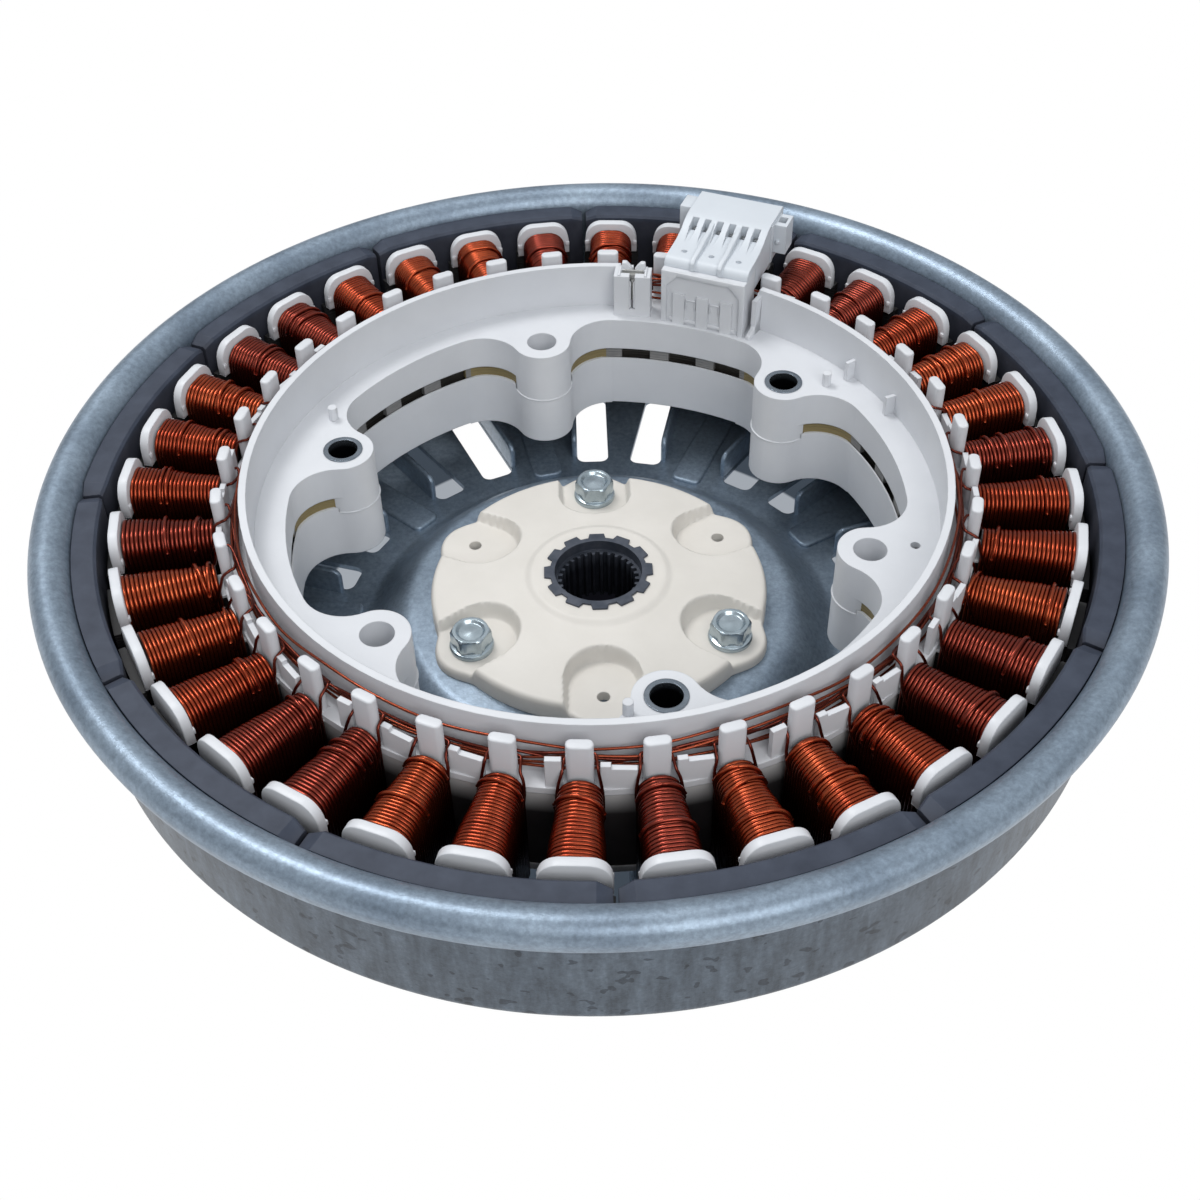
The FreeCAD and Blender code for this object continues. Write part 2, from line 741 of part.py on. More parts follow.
def add_bobbins(body, face, direction, cap_end):
    """For each tooth, the liner over one face of the core and the cap at its end."""
    liner_base = face if direction > 0 else f"{face} - liner_thickness"
    liner = rectangle(
        flat_sketch(body, "liner_outline", liner_base),
        "-liner_side_width / 2",
        "-cap_inner_radius - cap_thickness / 2",
        "liner_side_width / 2",
        "-deck_outer_radius + cap_thickness / 2",
    )
    liner_pad = pad(liner, "liner", "liner_thickness")
    shoulder = f"{cap_end} - {direction} * cap_shoulder"
    bulge = "(cap_half_width - cap_flat_half_width)"
    corners = [
        ("-cap_half_width", face),
        ("cap_half_width", face),
        ("cap_half_width", shoulder),
        (f"cap_flat_half_width + {bulge} * sin(45)", f"{shoulder} + {direction} * cap_shoulder * sin(45)"),
        ("cap_flat_half_width", cap_end),
        ("-cap_flat_half_width", cap_end),
        (f"-cap_flat_half_width - {bulge} * sin(45)", f"{shoulder} + {direction} * cap_shoulder * sin(45)"),
        ("-cap_half_width", shoulder),
    ]
    cap = outline(upright_sketch(body, "cap_outline", offset="cap_inner_radius"), corners)
    cap_pad = pad(cap, "cap", "cap_thickness")
    around(body, "bobbins", [liner_pad, cap_pad], "tooth_count")


def add_wire_guides(body):
    """The low stepped walls between the posts, the same for every third gap."""
    inner = "-guide_radius"
    outer = "-(guide_radius + guide_thickness)"
    walls = []
    for gap in (0, 1):
        turn = f"360 / tooth_count * {gap}"
        block = rectangle(
            flat_sketch(body, f"block_outline_{gap}", "core_top + deck_thickness / 2", turn),
            "guide_block_start",
            outer,
            "guide_block_end",
            inner,
        )
        walls.append(pad(block, f"block_{gap}", "guide_block_height + deck_thickness / 2"))
        bar = rectangle(
            flat_sketch(body, f"bar_outline_{gap}", "core_top + deck_thickness / 2", turn),
            "guide_block_end - guide_thickness / 2",
            outer,
            "guide_bar_end",
            inner,
        )
        walls.append(pad(bar, f"bar_{gap}", "guide_bar_height + deck_thickness / 2"))
    wedge = rectangle(
        flat_sketch(body, "wedge_outline", "core_top + deck_thickness / 2"),
        "-guide_wedge_end",
        outer,
        "-guide_wedge_start",
        inner,
    )
    walls.append(pad(wedge, "wedge", "guide_wedge_height + deck_thickness / 2"))
    around(body, "wire_guides", walls, "tooth_count / 3")


def make_upper_insulator():
    """The upper moulding: deck, ring wall, skirt, lugs, posts, caps and the tower."""
    body = new_body("upper_insulator")
    deck_top = "(core_top + deck_thickness)"
    wall_in = "(ring_wall_radius - ring_wall_thickness)"
    section = [
        ("lobe_radius", "upper_skirt_bottom"),
        ("lobe_radius + skirt_thickness", "upper_skirt_bottom"),
        ("lobe_radius + skirt_thickness", "core_top"),
        ("deck_outer_radius", "core_top"),
        ("deck_outer_radius", deck_top),
        ("ring_wall_radius", deck_top),
        ("ring_wall_radius", "ring_wall_top"),
        (wall_in, "ring_wall_top"),
        (wall_in, deck_top),
        ("lobe_radius", deck_top),
    ]
    revolve(outline(upright_sketch(body, "section"), section), "deck")
    add_lugs(body, "upper_skirt_bottom", deck_top, True)

    add_tower(body, deck_top)
    add_terminal_block(body)
    add_posts(body)
    add_bobbins(body, "core_top", 1, "upper_cap_top")
    add_wire_guides(body)
    return body


def add_posts(body):
    """A post on every tooth but the one beneath the connector."""
    pitch = "(360 / tooth_count)"
    first_turn = f"{pitch} * (connector_tooth + 1)"
    post = rectangle(
        flat_sketch(body, "post_outline", "core_top + deck_thickness / 2", first_turn),
        "-post_width / 2",
        "-post_radius - post_depth / 2",
        "post_width / 2",
        "-post_radius + post_depth / 2",
    )
    post_pad = pad(post, "post", "post_top - core_top - deck_thickness / 2")
    around(body, "posts", [post_pad], "tooth_count - 1", f"360 - {pitch} * 2")


def add_tower(body, deck_top):
    """The gap in the ring wall and the tower that holds the connector."""
    turn = "360 / tooth_count * connector_tooth"
    far = "(deck_outer_radius + cut_margin)"
    near = "(tower_front_radius - cut_margin / 2)"
    sector = outline(
        flat_sketch(body, "gap_outline", deck_top),
        [
            (f"{far} * sin(wall_gap_start)", f"-{far} * cos(wall_gap_start)"),
            (f"{far} * sin(wall_gap_end)", f"-{far} * cos(wall_gap_end)", far),
            (f"{near} * sin(wall_gap_end)", f"-{near} * cos(wall_gap_end)"),
            (f"{near} * sin(wall_gap_start)", f"-{near} * cos(wall_gap_start)", near, -1),
        ],
    )
    pocket(sector, "wall_gap", "post_top")
    walls = outline(
        flat_sketch(body, "tower_outline", "core_top + deck_thickness / 2", turn),
        [
            ("-tower_half_width", "-tower_front_radius"),
            ("-tower_half_width", "-tower_back_radius"),
            ("-tower_half_width + tower_wall", "-tower_back_radius"),
            ("-tower_half_width + tower_wall", "-tower_front_radius - tower_wall"),
            ("tower_half_width - tower_wall", "-tower_front_radius - tower_wall"),
            ("tower_half_width - tower_wall", "-tower_back_radius"),
            ("tower_half_width", "-tower_back_radius"),
            ("tower_half_width", "-tower_front_radius"),
        ],
    )
    pad(walls, "tower", "tower_top - core_top - deck_thickness / 2")
    for index in (-1, 0, 1):
        tab = rectangle(
            flat_sketch(body, f"tab_outline_{index + 1}", "core_top + deck_thickness / 2", turn),
            f"{index} * tower_tab_pitch - tower_tab_width / 2",
            "-tower_front_radius - tower_wall / 2",
            f"{index} * tower_tab_pitch + tower_tab_width / 2",
            "-tower_front_radius + tower_tab_relief",
        )
        pad(tab, f"tab_{index + 1}", "tower_tab_top - core_top - deck_thickness / 2")


def add_terminal_block(body):
    """The slotted pair of posts beside the tower, the gusset and the locating pins."""
    base = "core_top + deck_thickness / 2"
    block = rectangle(
        flat_sketch(body, "terminal_outline", base, "terminal_angle"),
        "-terminal_half_width",
        "-(terminal_front_radius + terminal_depth)",
        "terminal_half_width",
        "-terminal_front_radius",
    )
    pad(block, "terminal", "ring_wall_top - core_top - deck_thickness / 2")
    slot = rectangle(
        flat_sketch(body, "slot_outline", "ring_wall_top - terminal_slot_depth", "terminal_angle"),
        "-terminal_slot / 2",
        "-(terminal_front_radius + terminal_depth + cut_margin)",
        "terminal_slot / 2",
        "-terminal_front_radius + cut_margin",
    )
    pocket(slot, "terminal_slot", "terminal_slot_depth + cut_margin")
    clip_slot = flat_sketch(body, "clip_slot_outline", "ring_wall_top - clip_height", "terminal_angle")
    pocket(clip_outline(clip_slot, "clip_clearance"), "clip_slot", "clip_height + cut_margin")
    gusset = rectangle(
        flat_sketch(body, "gusset_outline", base, "gusset_angle"),
        "-tower_wall / 2",
        "-(ring_wall_radius - ring_wall_thickness / 2)",
        "tower_wall / 2",
        "-(ring_wall_radius - ring_wall_thickness - gusset_foot / 2)",
    )
    pad(gusset, "gusset", "gusset_top - core_top - deck_thickness / 2")
    for name in ("left_pin", "front_pin", "right_pin"):
        pin_sketch = flat_sketch(body, f"{name}_outline", base, f"{name}_angle")
        pin = bevelled_rectangle(
            pin_sketch,
            "-pin_thickness / 2",
            f"-{name}_radius - pin_thickness / 2",
            "pin_thickness / 2",
            f"-{name}_radius + pin_thickness / 2",
            "pin_bevel",
        )
        pad(pin, name, "pin_height + deck_thickness / 2")
    for name in ("first_blade", "second_blade"):
        blade = rectangle(
            flat_sketch(body, f"{name}_outline", base, f"{name}_angle"),
            "-blade_thickness / 2",
            "-(blade_radius + blade_length / 2)",
            "blade_thickness / 2",
            "-(blade_radius - blade_length / 2)",
        )
        pad(blade, name, "blade_height + deck_thickness / 2")
    hole_sketch = flat_sketch(body, "deck_hole_outline", "core_top - cut_margin", "deck_hole_angle")
    circle(hole_sketch, "0", "-deck_hole_radius", "deck_hole_size")
    pocket(hole_sketch, "deck_hole", "deck_thickness + cut_margin * 2")


def clip_outline(sketch, clearance="0"):
    """The plan of the terminal clip, grown by a clearance for its slot."""
    middle = "(terminal_front_radius + terminal_depth / 2)"
    return rectangle(
        sketch,
        f"-clip_half_width - {clearance}",
        f"-{middle} - clip_thickness / 2 - {clearance}",
        f"clip_half_width + {clearance}",
        f"-{middle} + clip_thickness / 2 + {clearance}",
    )


def make_terminal_clip():
    """The sprung metal blade in the slotted posts."""
    body = new_body("terminal_clip", "stator_turn + terminal_angle")
    blade = clip_outline(flat_sketch(body, "outline", "ring_wall_top - clip_height"))
    pad(blade, "blade", "clip_height - clip_drop")
    return body


def make_lower_insulator():
    """The lower moulding: deck, skirt, lugs and caps."""
    body = new_body("lower_insulator")
    deck_bottom = "(core_bottom - deck_thickness)"
    section = [
        ("lobe_radius", deck_bottom),
        ("deck_outer_radius", deck_bottom),
        ("deck_outer_radius", "core_bottom"),
        ("lobe_radius + skirt_thickness", "core_bottom"),
        ("lobe_radius + skirt_thickness", "lower_skirt_top"),
        ("lobe_radius", "lower_skirt_top"),
    ]
    revolve(outline(upright_sketch(body, "section"), section), "deck")
    add_lugs(body, "lug_bottom", "lower_skirt_top", False)
    add_bobbins(body, "core_bottom", -1, "lower_cap_bottom")
    return body


def make_lug_sleeves():
    """Three steel sleeves that take the clamping load of the mounting bolts."""
    body = new_body("lug_sleeves", "stator_turn + lug_phase")
    ring = flat_sketch(body, "outline", "lug_bottom")
    circle(ring, "0", "-lug_circle_radius", "sleeve_outer_radius")
    circle(ring, "0", "-lug_circle_radius", "sleeve_inner_radius")
    sleeve = pad(ring, "sleeve", "core_top + deck_thickness - lug_bottom + sleeve_stand")
    around(body, "sleeves", [sleeve], "lug_count / 2")
    return body


def make_coil(number):
    """One winding round its tooth: a wedge that widens outward, with bevelled edges."""
    body = new_body(f"coil_{number + 1:02d}", f"stator_turn + 360 / tooth_count * {number}")
    middle = "(core_bottom + core_top) / 2"
    wedge = body.newObject("PartDesign::AdditiveWedge", f"{body.Name}_winding")
    for name, text in (
        ("Ymin", "-coil_outer_radius"),
        ("Ymax", "-coil_inner_radius"),
        ("Xmin", "-coil_outer_width / 2"),
        ("Xmax", "coil_outer_width / 2"),
        ("X2min", "-coil_inner_width / 2"),
        ("X2max", "coil_inner_width / 2"),
        ("Zmin", f"{middle} - coil_outer_half_height"),
        ("Zmax", f"{middle} + coil_outer_half_height"),
        ("Z2min", f"{middle} - coil_inner_half_height"),
        ("Z2max", f"{middle} + coil_inner_half_height"),
    ):
        wedge.setExpression(name, bound(text))
    doc.recompute()
    long_edges = [
        f"Edge{index}"
        for index, edge in enumerate(wedge.Shape.Edges, start=1)
        if edge.BoundBox.YLength > size("coil_outer_radius - coil_inner_radius") / 2
    ]
    bevel = body.newObject("PartDesign::Chamfer", f"{body.Name}_bevel")
    bevel.Base = (wedge, long_edges)
    bevel.setExpression("Size", bound("coil_corner"))
    doc.recompute()
    hole = rectangle(
        upright_sketch(body, "tooth_window", offset="coil_inner_radius - cut_margin"),
        "-liner_side_width / 2 - coil_clearance",
        "core_bottom - liner_thickness - coil_clearance",
        "liner_side_width / 2 + coil_clearance",
        "core_top + liner_thickness + coil_clearance",
    )
    pocket(hole, "tooth_hole", "coil_outer_radius")
    return body


def make_crossover_wires():
    """Three rings of winding wire drawn taut behind the posts."""
    body = new_body("crossover_wires")
    outer = "(post_radius - post_depth / 2 - wire_post_gap)"
    inner = f"({outer} - wire_size)"
    turn = "(180 / tooth_count)"
    spans = []
    for level in range(3):
        sketch = flat_sketch(body, f"span_outline_{level + 1}", f"wire_lowest + wire_spacing * {level}")
        outline(
            sketch,
            [
                (f"-{outer} * sin{turn}", f"-{outer} * cos{turn}"),
                (f"{outer} * sin{turn}", f"-{outer} * cos{turn}"),
                (f"{inner} * sin{turn}", f"-{inner} * cos{turn}"),
                (f"-{inner} * sin{turn}", f"-{inner} * cos{turn}"),
            ],
        )
        spans.append(pad(sketch, f"span_{level + 1}", "wire_size"))
    around(body, "rings", spans, "tooth_count")
    return body


def make_connector_housing():
    """The connector on the tower: block with a ramp, ears, windows and a plug below."""
    body = new_body("connector_housing", "stator_turn + 360 / tooth_count * connector_tooth")
    front = "(tower_front_radius + tower_wall)"
    side = outline(
        upright_sketch(body, "side_outline", "YZ_Plane"),
        [
            (f"-{front}", "tower_top"),
            (f"-{front}", "housing_front_height"),
            ("-housing_ramp_start", "housing_ramp_height"),
            ("-housing_deck_start", "housing_top"),
            ("-housing_outer_radius", "housing_top"),
            ("-housing_outer_radius", "housing_bottom"),
            ("-(tower_back_radius + plug_clearance)", "housing_bottom"),
            ("-(tower_back_radius + plug_clearance)", "tower_top"),
        ],
    )
    pad(side, "block", "tower_half_width * 2", midplane=True)
    plug_half = "(tower_half_width - tower_wall - plug_clearance)"
    plug = rectangle(
        flat_sketch(body, "plug_outline", "plug_bottom"),
        f"-{plug_half}",
        "-(tower_back_radius + plug_clearance * 2)",
        plug_half,
        f"-({front} + plug_clearance)",
    )
    pad(plug, "plug", "tower_top - plug_bottom")
    for hand in (-1, 1):
        near = f"{hand} * (tower_half_width - tower_wall / 2)"
        far = f"{hand} * (tower_half_width + ear_width)"
        first, last = (far, near) if hand < 0 else (near, far)
        ear = rectangle(
            flat_sketch(body, f"ear_outline_{hand + 1}", "ear_bottom"),
            first,
            "-(ear_inner_radius + ear_length)",
            last,
            "-ear_inner_radius",
        )
        pad(ear, f"ear_{hand + 1}", "ear_top - ear_bottom")
        rib = rectangle(
            flat_sketch(body, f"ramp_rib_outline_{hand + 1}", "tower_top"),
            f"{hand} * ramp_rib_offset - ramp_rib_width / 2",
            "-housing_ramp_start",
            f"{hand} * ramp_rib_offset + ramp_rib_width / 2",
            f"-{front} + ramp_rib_height",
        )
        pad(rib, f"ramp_rib_{hand + 1}", "housing_ramp_height - tower_top + ramp_rib_height / 2")
    for index in range(int(size("window_count"))):
        place = f"(({index} - (window_count - 1) / 2) * window_pitch)"
        window = rectangle(
            flat_sketch(body, f"window_outline_{index + 1}", "housing_ramp_height - window_depth"),
            f"{place} - window_width / 2",
            "-(window_radius + window_length)",
            f"{place} + window_width / 2",
            "-window_radius",
        )
        pocket(window, f"window_{index + 1}", "window_depth + housing_top - housing_ramp_height + cut_margin")
    return body


def make_connector_contacts():
    """The six contacts that show at the bottom of the connector's windows."""
    body = new_body("connector_contacts", "stator_turn + 360 / tooth_count * connector_tooth")
    for index in range(int(size("window_count"))):
        place = f"(({index} - (window_count - 1) / 2) * window_pitch)"
        contact = rectangle(
            flat_sketch(body, f"contact_outline_{index + 1}", "housing_ramp_height - window_depth"),
            f"{place} - contact_width / 2",
            "-(window_radius + window_length)",
            f"{place} + contact_width / 2",
            "-(window_radius + window_length - contact_height)",
        )
        pad(contact, f"contact_{index + 1}", "contact_height")
    return body


bodies = [
    make_rotor_cup(),
    make_hub_plate(),
    make_spline_bush(),
    make_hub_bolts(),
    make_magnets(),
    make_stator_core(),
    make_upper_insulator(),
    make_lower_insulator(),
    make_lug_sleeves(),
    make_crossover_wires(),
    make_terminal_clip(),
    make_connector_housing(),
    make_connector_contacts(),
]
bodies += [make_coil(number) for number in range(SIZES["tooth_count"])]
doc.recompute()

# Every object has to be sound before anything is written
for item in doc.Objects:
    if "Invalid" in item.State or "Error" in item.State:
        sys.exit(f"{item.Name} is {item.State}")
for body in bodies:
    if body.Shape.isNull() or not body.Shape.isValid() or body.Shape.Volume <= 0:
        sys.exit(f"{body.Label} has no sound shape")

os.makedirs(NODE_FOLDER, exist_ok=True)
for body in bodies:
    body.Shape.exportStep(os.path.join(NODE_FOLDER, body.Label + ".step"))
    print(body.Label, len(body.Shape.Solids), round(body.Shape.Volume, 1))
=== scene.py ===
import json
import math
import random

import bmesh
import bpy
from mathutils import Matrix, Vector

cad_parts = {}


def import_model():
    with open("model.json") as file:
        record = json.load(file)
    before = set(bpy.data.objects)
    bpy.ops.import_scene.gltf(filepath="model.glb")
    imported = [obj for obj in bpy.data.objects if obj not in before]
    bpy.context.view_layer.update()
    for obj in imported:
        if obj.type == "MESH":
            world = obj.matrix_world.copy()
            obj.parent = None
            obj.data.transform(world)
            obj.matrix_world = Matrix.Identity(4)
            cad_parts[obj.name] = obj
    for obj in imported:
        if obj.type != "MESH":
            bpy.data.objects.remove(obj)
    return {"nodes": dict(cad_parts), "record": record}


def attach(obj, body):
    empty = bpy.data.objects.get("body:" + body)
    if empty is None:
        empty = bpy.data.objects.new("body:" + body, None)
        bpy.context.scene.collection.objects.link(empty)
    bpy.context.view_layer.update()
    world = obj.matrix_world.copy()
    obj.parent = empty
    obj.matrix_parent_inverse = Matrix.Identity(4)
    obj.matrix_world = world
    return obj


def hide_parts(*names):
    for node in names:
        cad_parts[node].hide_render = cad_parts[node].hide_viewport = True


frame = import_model()
nodes = frame["nodes"]

MM = 0.001
STATOR_TURN = -2.86
ROTOR_TURN = 1.0
TEETH = 36
PITCH = 360 / TEETH
MAGNETS = 12
LOUVRE_PAIRS = 10
CONNECTOR_TOOTH = 16
CONNECTOR_TURN = STATOR_TURN + CONNECTOR_TOOTH * PITCH
TERMINAL_TURN = STATOR_TURN + 174.9
POST_TOP = 66.2
RING_TOP = 65.8
SHEET = 1.8
LUG_RADIUS = 74.9
LUG_ANGLES = [STATOR_TURN + 15 + 60 * lug for lug in range(6)]
BOLT_RADIUS = 41.4
WHITE = (1.0, 1.0, 1.0)
# An (x, z) outline stood up facing the axis, and an (R, z) outline stood up across it.
FACING = Matrix(((1, 0, 0, 0), (0, 0, -1, 0), (0, 1, 0, 0), (0, 0, 0, 1)))
SIDE_ON = Matrix(((0, 0, 1, 0), (-1, 0, 0, 0), (0, 1, 0, 0), (0, 0, 0, 1)))


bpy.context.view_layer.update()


# Materials


def new_material(name):
    """An empty material with its node tree and its shader."""
    material = bpy.data.materials.new(name)
    material.use_nodes = True
    tree = material.node_tree
    tree.nodes.clear()
    output = tree.nodes.new("ShaderNodeOutputMaterial")
    shader = tree.nodes.new("ShaderNodeBsdfPrincipled")
    tree.links.new(shader.outputs[0], output.inputs[0])
    return material, tree, shader


def place(tree, scale=(1, 1, 1)):
    """The point in the object's own metres, stretched by a scale."""
    coordinates = tree.nodes.new("ShaderNodeTexCoord")
    mapping = tree.nodes.new("ShaderNodeMapping")
    mapping.inputs["Scale"].default_value = scale
    tree.links.new(coordinates.outputs["Object"], mapping.inputs["Vector"])
    return mapping.outputs[0]


def noise(tree, vector, scale, detail=4.0, roughness=0.55):
    node = tree.nodes.new("ShaderNodeTexNoise")
    node.inputs["Scale"].default_value = scale
    node.inputs["Detail"].default_value = detail
    node.inputs["Roughness"].default_value = roughness
    tree.links.new(vector, node.inputs["Vector"])
    return node.outputs[0]


def ramp(tree, factor, stops):
    node = tree.nodes.new("ShaderNodeValToRGB")
    while len(node.color_ramp.elements) < len(stops):
        node.color_ramp.elements.new(0.5)
    for element, (position, colour) in zip(node.color_ramp.elements, stops):
        element.position = position
        element.color = (*colour, 1)
    tree.links.new(factor, node.inputs[0])
    return node.outputs[0]


def soft_edges(tree, shader, radius, height=None, strength=0.2, distance=0.0004):
    """Rounded edges in the shading, under a fine grain where a height is given."""
    edges = tree.nodes.new("ShaderNodeBevel")
    edges.samples = 4
    edges.inputs["Radius"].default_value = radius * MM
    normal = edges.outputs[0]
    if height is not None:
        grain = tree.nodes.new("ShaderNodeBump")
        grain.inputs["Strength"].default_value = strength
        grain.inputs["Distance"].default_value = distance
        tree.links.new(height, grain.inputs["Height"])
        tree.links.new(normal, grain.inputs["Normal"])
        normal = grain.outputs[0]
    tree.links.new(normal, shader.inputs["Normal"])


def clouded(name, dark, light, metallic, roughness, scale=120, grain=0.05, edge=0.4):
    """A base colour that drifts between two tones, with grain and soft edges."""
    material, tree, shader = new_material(name)
    where = place(tree)
    tree.links.new(
        ramp(tree, noise(tree, where, scale), [(0.3, dark), (0.7, light)]),
        shader.inputs["Base Color"],
    )
    shader.inputs["Metallic"].default_value = metallic
    shader.inputs["Roughness"].default_value = roughness
    soft_edges(tree, shader, edge, noise(tree, where, scale * 12), grain)
    return material


def multiply(tree, first, second, amount=1.0):
    node = tree.nodes.new("ShaderNodeMix")
    node.data_type = "RGBA"
    node.blend_type = "MULTIPLY"
    node.inputs[0].default_value = amount
    tree.links.new(first, node.inputs[6])
    tree.links.new(second, node.inputs[7])
    return node.outputs[2]


def distance_out(tree, where):
    """The distance of a point from the motor's axis."""
    level = tree.nodes.new("ShaderNodeVectorMath")
    level.operation = "MULTIPLY"
    level.inputs[1].default_value = (1, 1, 0)
    tree.links.new(where, level.inputs[0])
    length = tree.nodes.new("ShaderNodeVectorMath")
    length.operation = "LENGTH"
    tree.links.new(level.outputs[0], length.inputs[0])
    return length.outputs[1]


def height_of(tree, where):
    split = tree.nodes.new("ShaderNodeSeparateXYZ")
    tree.links.new(where, split.inputs[0])
    return split.outputs[2]


def between(tree, number, low, high):
    """A mask that climbs from 0 to 1 as a number goes from low to high."""
    node = tree.nodes.new("ShaderNodeMapRange")
    node.inputs["From Min"].default_value = low
    node.inputs["From Max"].default_value = high
    tree.links.new(number, node.inputs["Value"])
    return node.outputs[0]


def mixed(tree, factor, first, second):
    """Two colours mixed by a factor. Each is a colour or another node's output."""
    node = tree.nodes.new("ShaderNodeMix")
    node.data_type = "RGBA"
    tree.links.new(factor, node.inputs[0])
    for colour, socket in ((first, node.inputs[6]), (second, node.inputs[7])):
        if isinstance(colour, tuple):
            socket.default_value = (*colour, 1)
        else:
            tree.links.new(colour, socket)
    return node.outputs[2]


def sheet_steel():
    """Galvanised sheet: fine spangle; on the outer wall, streaks, dark oval spots and painted shade.
    """
    material, tree, shader = new_material("steel")
    where = place(tree)
    clouds = noise(tree, where, 45)
    clouds = ramp(tree, clouds, [(0.3, (0.19, 0.245, 0.312)), (0.7, (0.292, 0.364, 0.445))])
    spangle = noise(tree, where, 700, 3, 0.7)
    spangle = ramp(tree, spangle, [(0.3, (0.76, 0.76, 0.76)), (0.7, (1.16, 1.16, 1.16))])
    streaks = noise(tree, place(tree, (1, 1, 0.2)), 300, 4, 0.65)
    streaks = ramp(tree, streaks, [(0.3, (0.20, 0.205, 0.215)), (0.68, (0.47, 0.475, 0.485))])
    spots = noise(tree, place(tree, (1, 1, 1.35)), 240, 1)
    spots = ramp(tree, spots, [(0.325, (0.42, 0.44, 0.47)), (0.345, (1, 1, 1))])
    # Painted shade: below the rim the outer wall is darkened overall, besides its own streaks and
    # spots.
    below = between(tree, height_of(tree, where), 0.0563, 0.0555)
    outside = between(tree, distance_out(tree, where), 0.1386, 0.1389)
    streaks_spots_and_shade = multiply(tree, streaks, spots)
    shade = mixed(tree, multiply(tree, below, outside), WHITE, streaks_spots_and_shade)
    colour = multiply(tree, multiply(tree, clouds, spangle), shade)
    tree.links.new(colour, shader.inputs["Base Color"])
    shader.inputs["Metallic"].default_value = 0.62
    shader.inputs["Roughness"].default_value = 0.4
    soft_edges(tree, shader, 0.5, noise(tree, where, 1600), 0.15)
    return material


def ferrite():
    """Nearly black magnets, greyer and bluer towards the top."""
    material, tree, shader = new_material("ferrite")
    where = place(tree)
    grain = noise(tree, where, 150)
    sides = ramp(tree, grain, [(0.3, (0.026, 0.029, 0.042)), (0.7, (0.045, 0.049, 0.066))])
    top = ramp(tree, grain, [(0.3, (0.029, 0.037, 0.058)), (0.7, (0.048, 0.059, 0.087))])
    upper = between(tree, height_of(tree, where), 0.0572, 0.0588)
    tree.links.new(mixed(tree, upper, sides, top), shader.inputs["Base Color"])
    shader.inputs["Roughness"].default_value = 0.55
    shader.inputs["Specular IOR Level"].default_value = 0.35
    soft_edges(tree, shader, 0.3, noise(tree, where, 1500), 0.05)
    return material


def sintered():
    """The bush: blue-grey above, with painted shade making it nearly black down in the bore."""
    material, tree, shader = new_material("sintered")
    where = place(tree)
    grain = noise(tree, where, 300)
    tones = ramp(tree, grain, [(0.3, (0.045, 0.055, 0.075)), (0.7, (0.09, 0.10, 0.125))])
    # Painted shade: the bore is darkened below 22.5 mm.
    deep = between(tree, height_of(tree, where), 0.0225, 0.0165)
    colour = multiply(tree, tones, mixed(tree, deep, WHITE, (0.25, 0.25, 0.27)))
    tree.links.new(colour, shader.inputs["Base Color"])
    shader.inputs["Metallic"].default_value = 0.5
    shader.inputs["Roughness"].default_value = 0.45
    soft_edges(tree, shader, 0.3, noise(tree, where, 3600), 0.1)
    return material


def zinc():
    """Bright zinc on the bolts and the lugs' sleeves, whose bores are nearly black with painted
    shade.
    """
    material, tree, shader = new_material("zinc")
    where = place(tree)
    grain = noise(tree, where, 200)
    tones = ramp(tree, grain, [(0.3, (0.36, 0.43, 0.47)), (0.7, (0.52, 0.60, 0.65))])
    mouth = max(vertex.co.z for vertex in nodes["lug_sleeves"].data.vertices)
    height = height_of(tree, where)
    # Painted shade: the sleeves' bores, below the mouth, are nearly black.
    under_mouth = between(tree, height, mouth - 0.0006, mouth - 0.0025)
    bore = multiply(tree, under_mouth, between(tree, height, 0.026, 0.028))
    sleeve = mixed(tree, between(tree, height, 0.030, 0.032), WHITE, (0.55, 0.54, 0.57))
    colour = multiply(tree, tones, mixed(tree, bore, sleeve, (0.05, 0.045, 0.05)))
    tree.links.new(colour, shader.inputs["Base Color"])
    shader.inputs["Metallic"].default_value = 0.9
    shader.inputs["Roughness"].default_value = 0.22
    soft_edges(tree, shader, 0.3, noise(tree, where, 2400), 0.03)
    return material


def copper(name, dark, light):
    """Enamelled wire: two tones along the wire, with painted shade making it darker down in
    the slots and in the grooves between the turns of a coil."""
    material, tree, shader = new_material(name)
    where = place(tree)
    tones = ramp(tree, noise(tree, where, 200), [(0.3, dark), (0.7, light)])
    # Painted shade: darker low down on the coils, in the slots.
    deep = between(tree, height_of(tree, where), 0.0545, 0.041)
    painted_slot_shade = mixed(tree, deep, WHITE, (0.1, 0.06, 0.06))
    # Painted shade in the grooves between turns, read from the coil's groove attribute.
    groove = tree.nodes.new("ShaderNodeAttribute")
    groove.attribute_name = "groove"
    inside = between(tree, groove.outputs["Fac"], 0.2, 0.95)
    shade = mixed(tree, inside, WHITE, (0.1, 0.06, 0.06))
    colour = multiply(tree, multiply(tree, tones, painted_slot_shade), shade)
    tree.links.new(colour, shader.inputs["Base Color"])
    shader.inputs["Metallic"].default_value = 0.95
    shader.inputs["Roughness"].default_value = 0.27
    shader.inputs["Coat Weight"].default_value = 0.1
    shader.inputs["Coat Roughness"].default_value = 0.15
    return material


def slot_lining():
    """White at its upper edge and, as painted shade, dark below, down between the coils."""
    material, tree, shader = new_material("slot_lining")
    where = place(tree)
    grain = noise(tree, where, 60)
    white = ramp(tree, grain, [(0.3, (0.5, 0.5, 0.5)), (0.7, (0.56, 0.56, 0.56))])
    black = ramp(tree, grain, [(0.3, (0.012, 0.01, 0.011)), (0.7, (0.03, 0.025, 0.026))])
    # Painted shade: dark below the upper edge, down between the coils.
    deep = between(tree, height_of(tree, where), 0.0492, 0.0425)
    tree.links.new(mixed(tree, deep, white, black), shader.inputs["Base Color"])
    shader.inputs["Roughness"].default_value = 0.6
    soft_edges(tree, shader, 0.2, noise(tree, where, 700), 0.03)
    return material


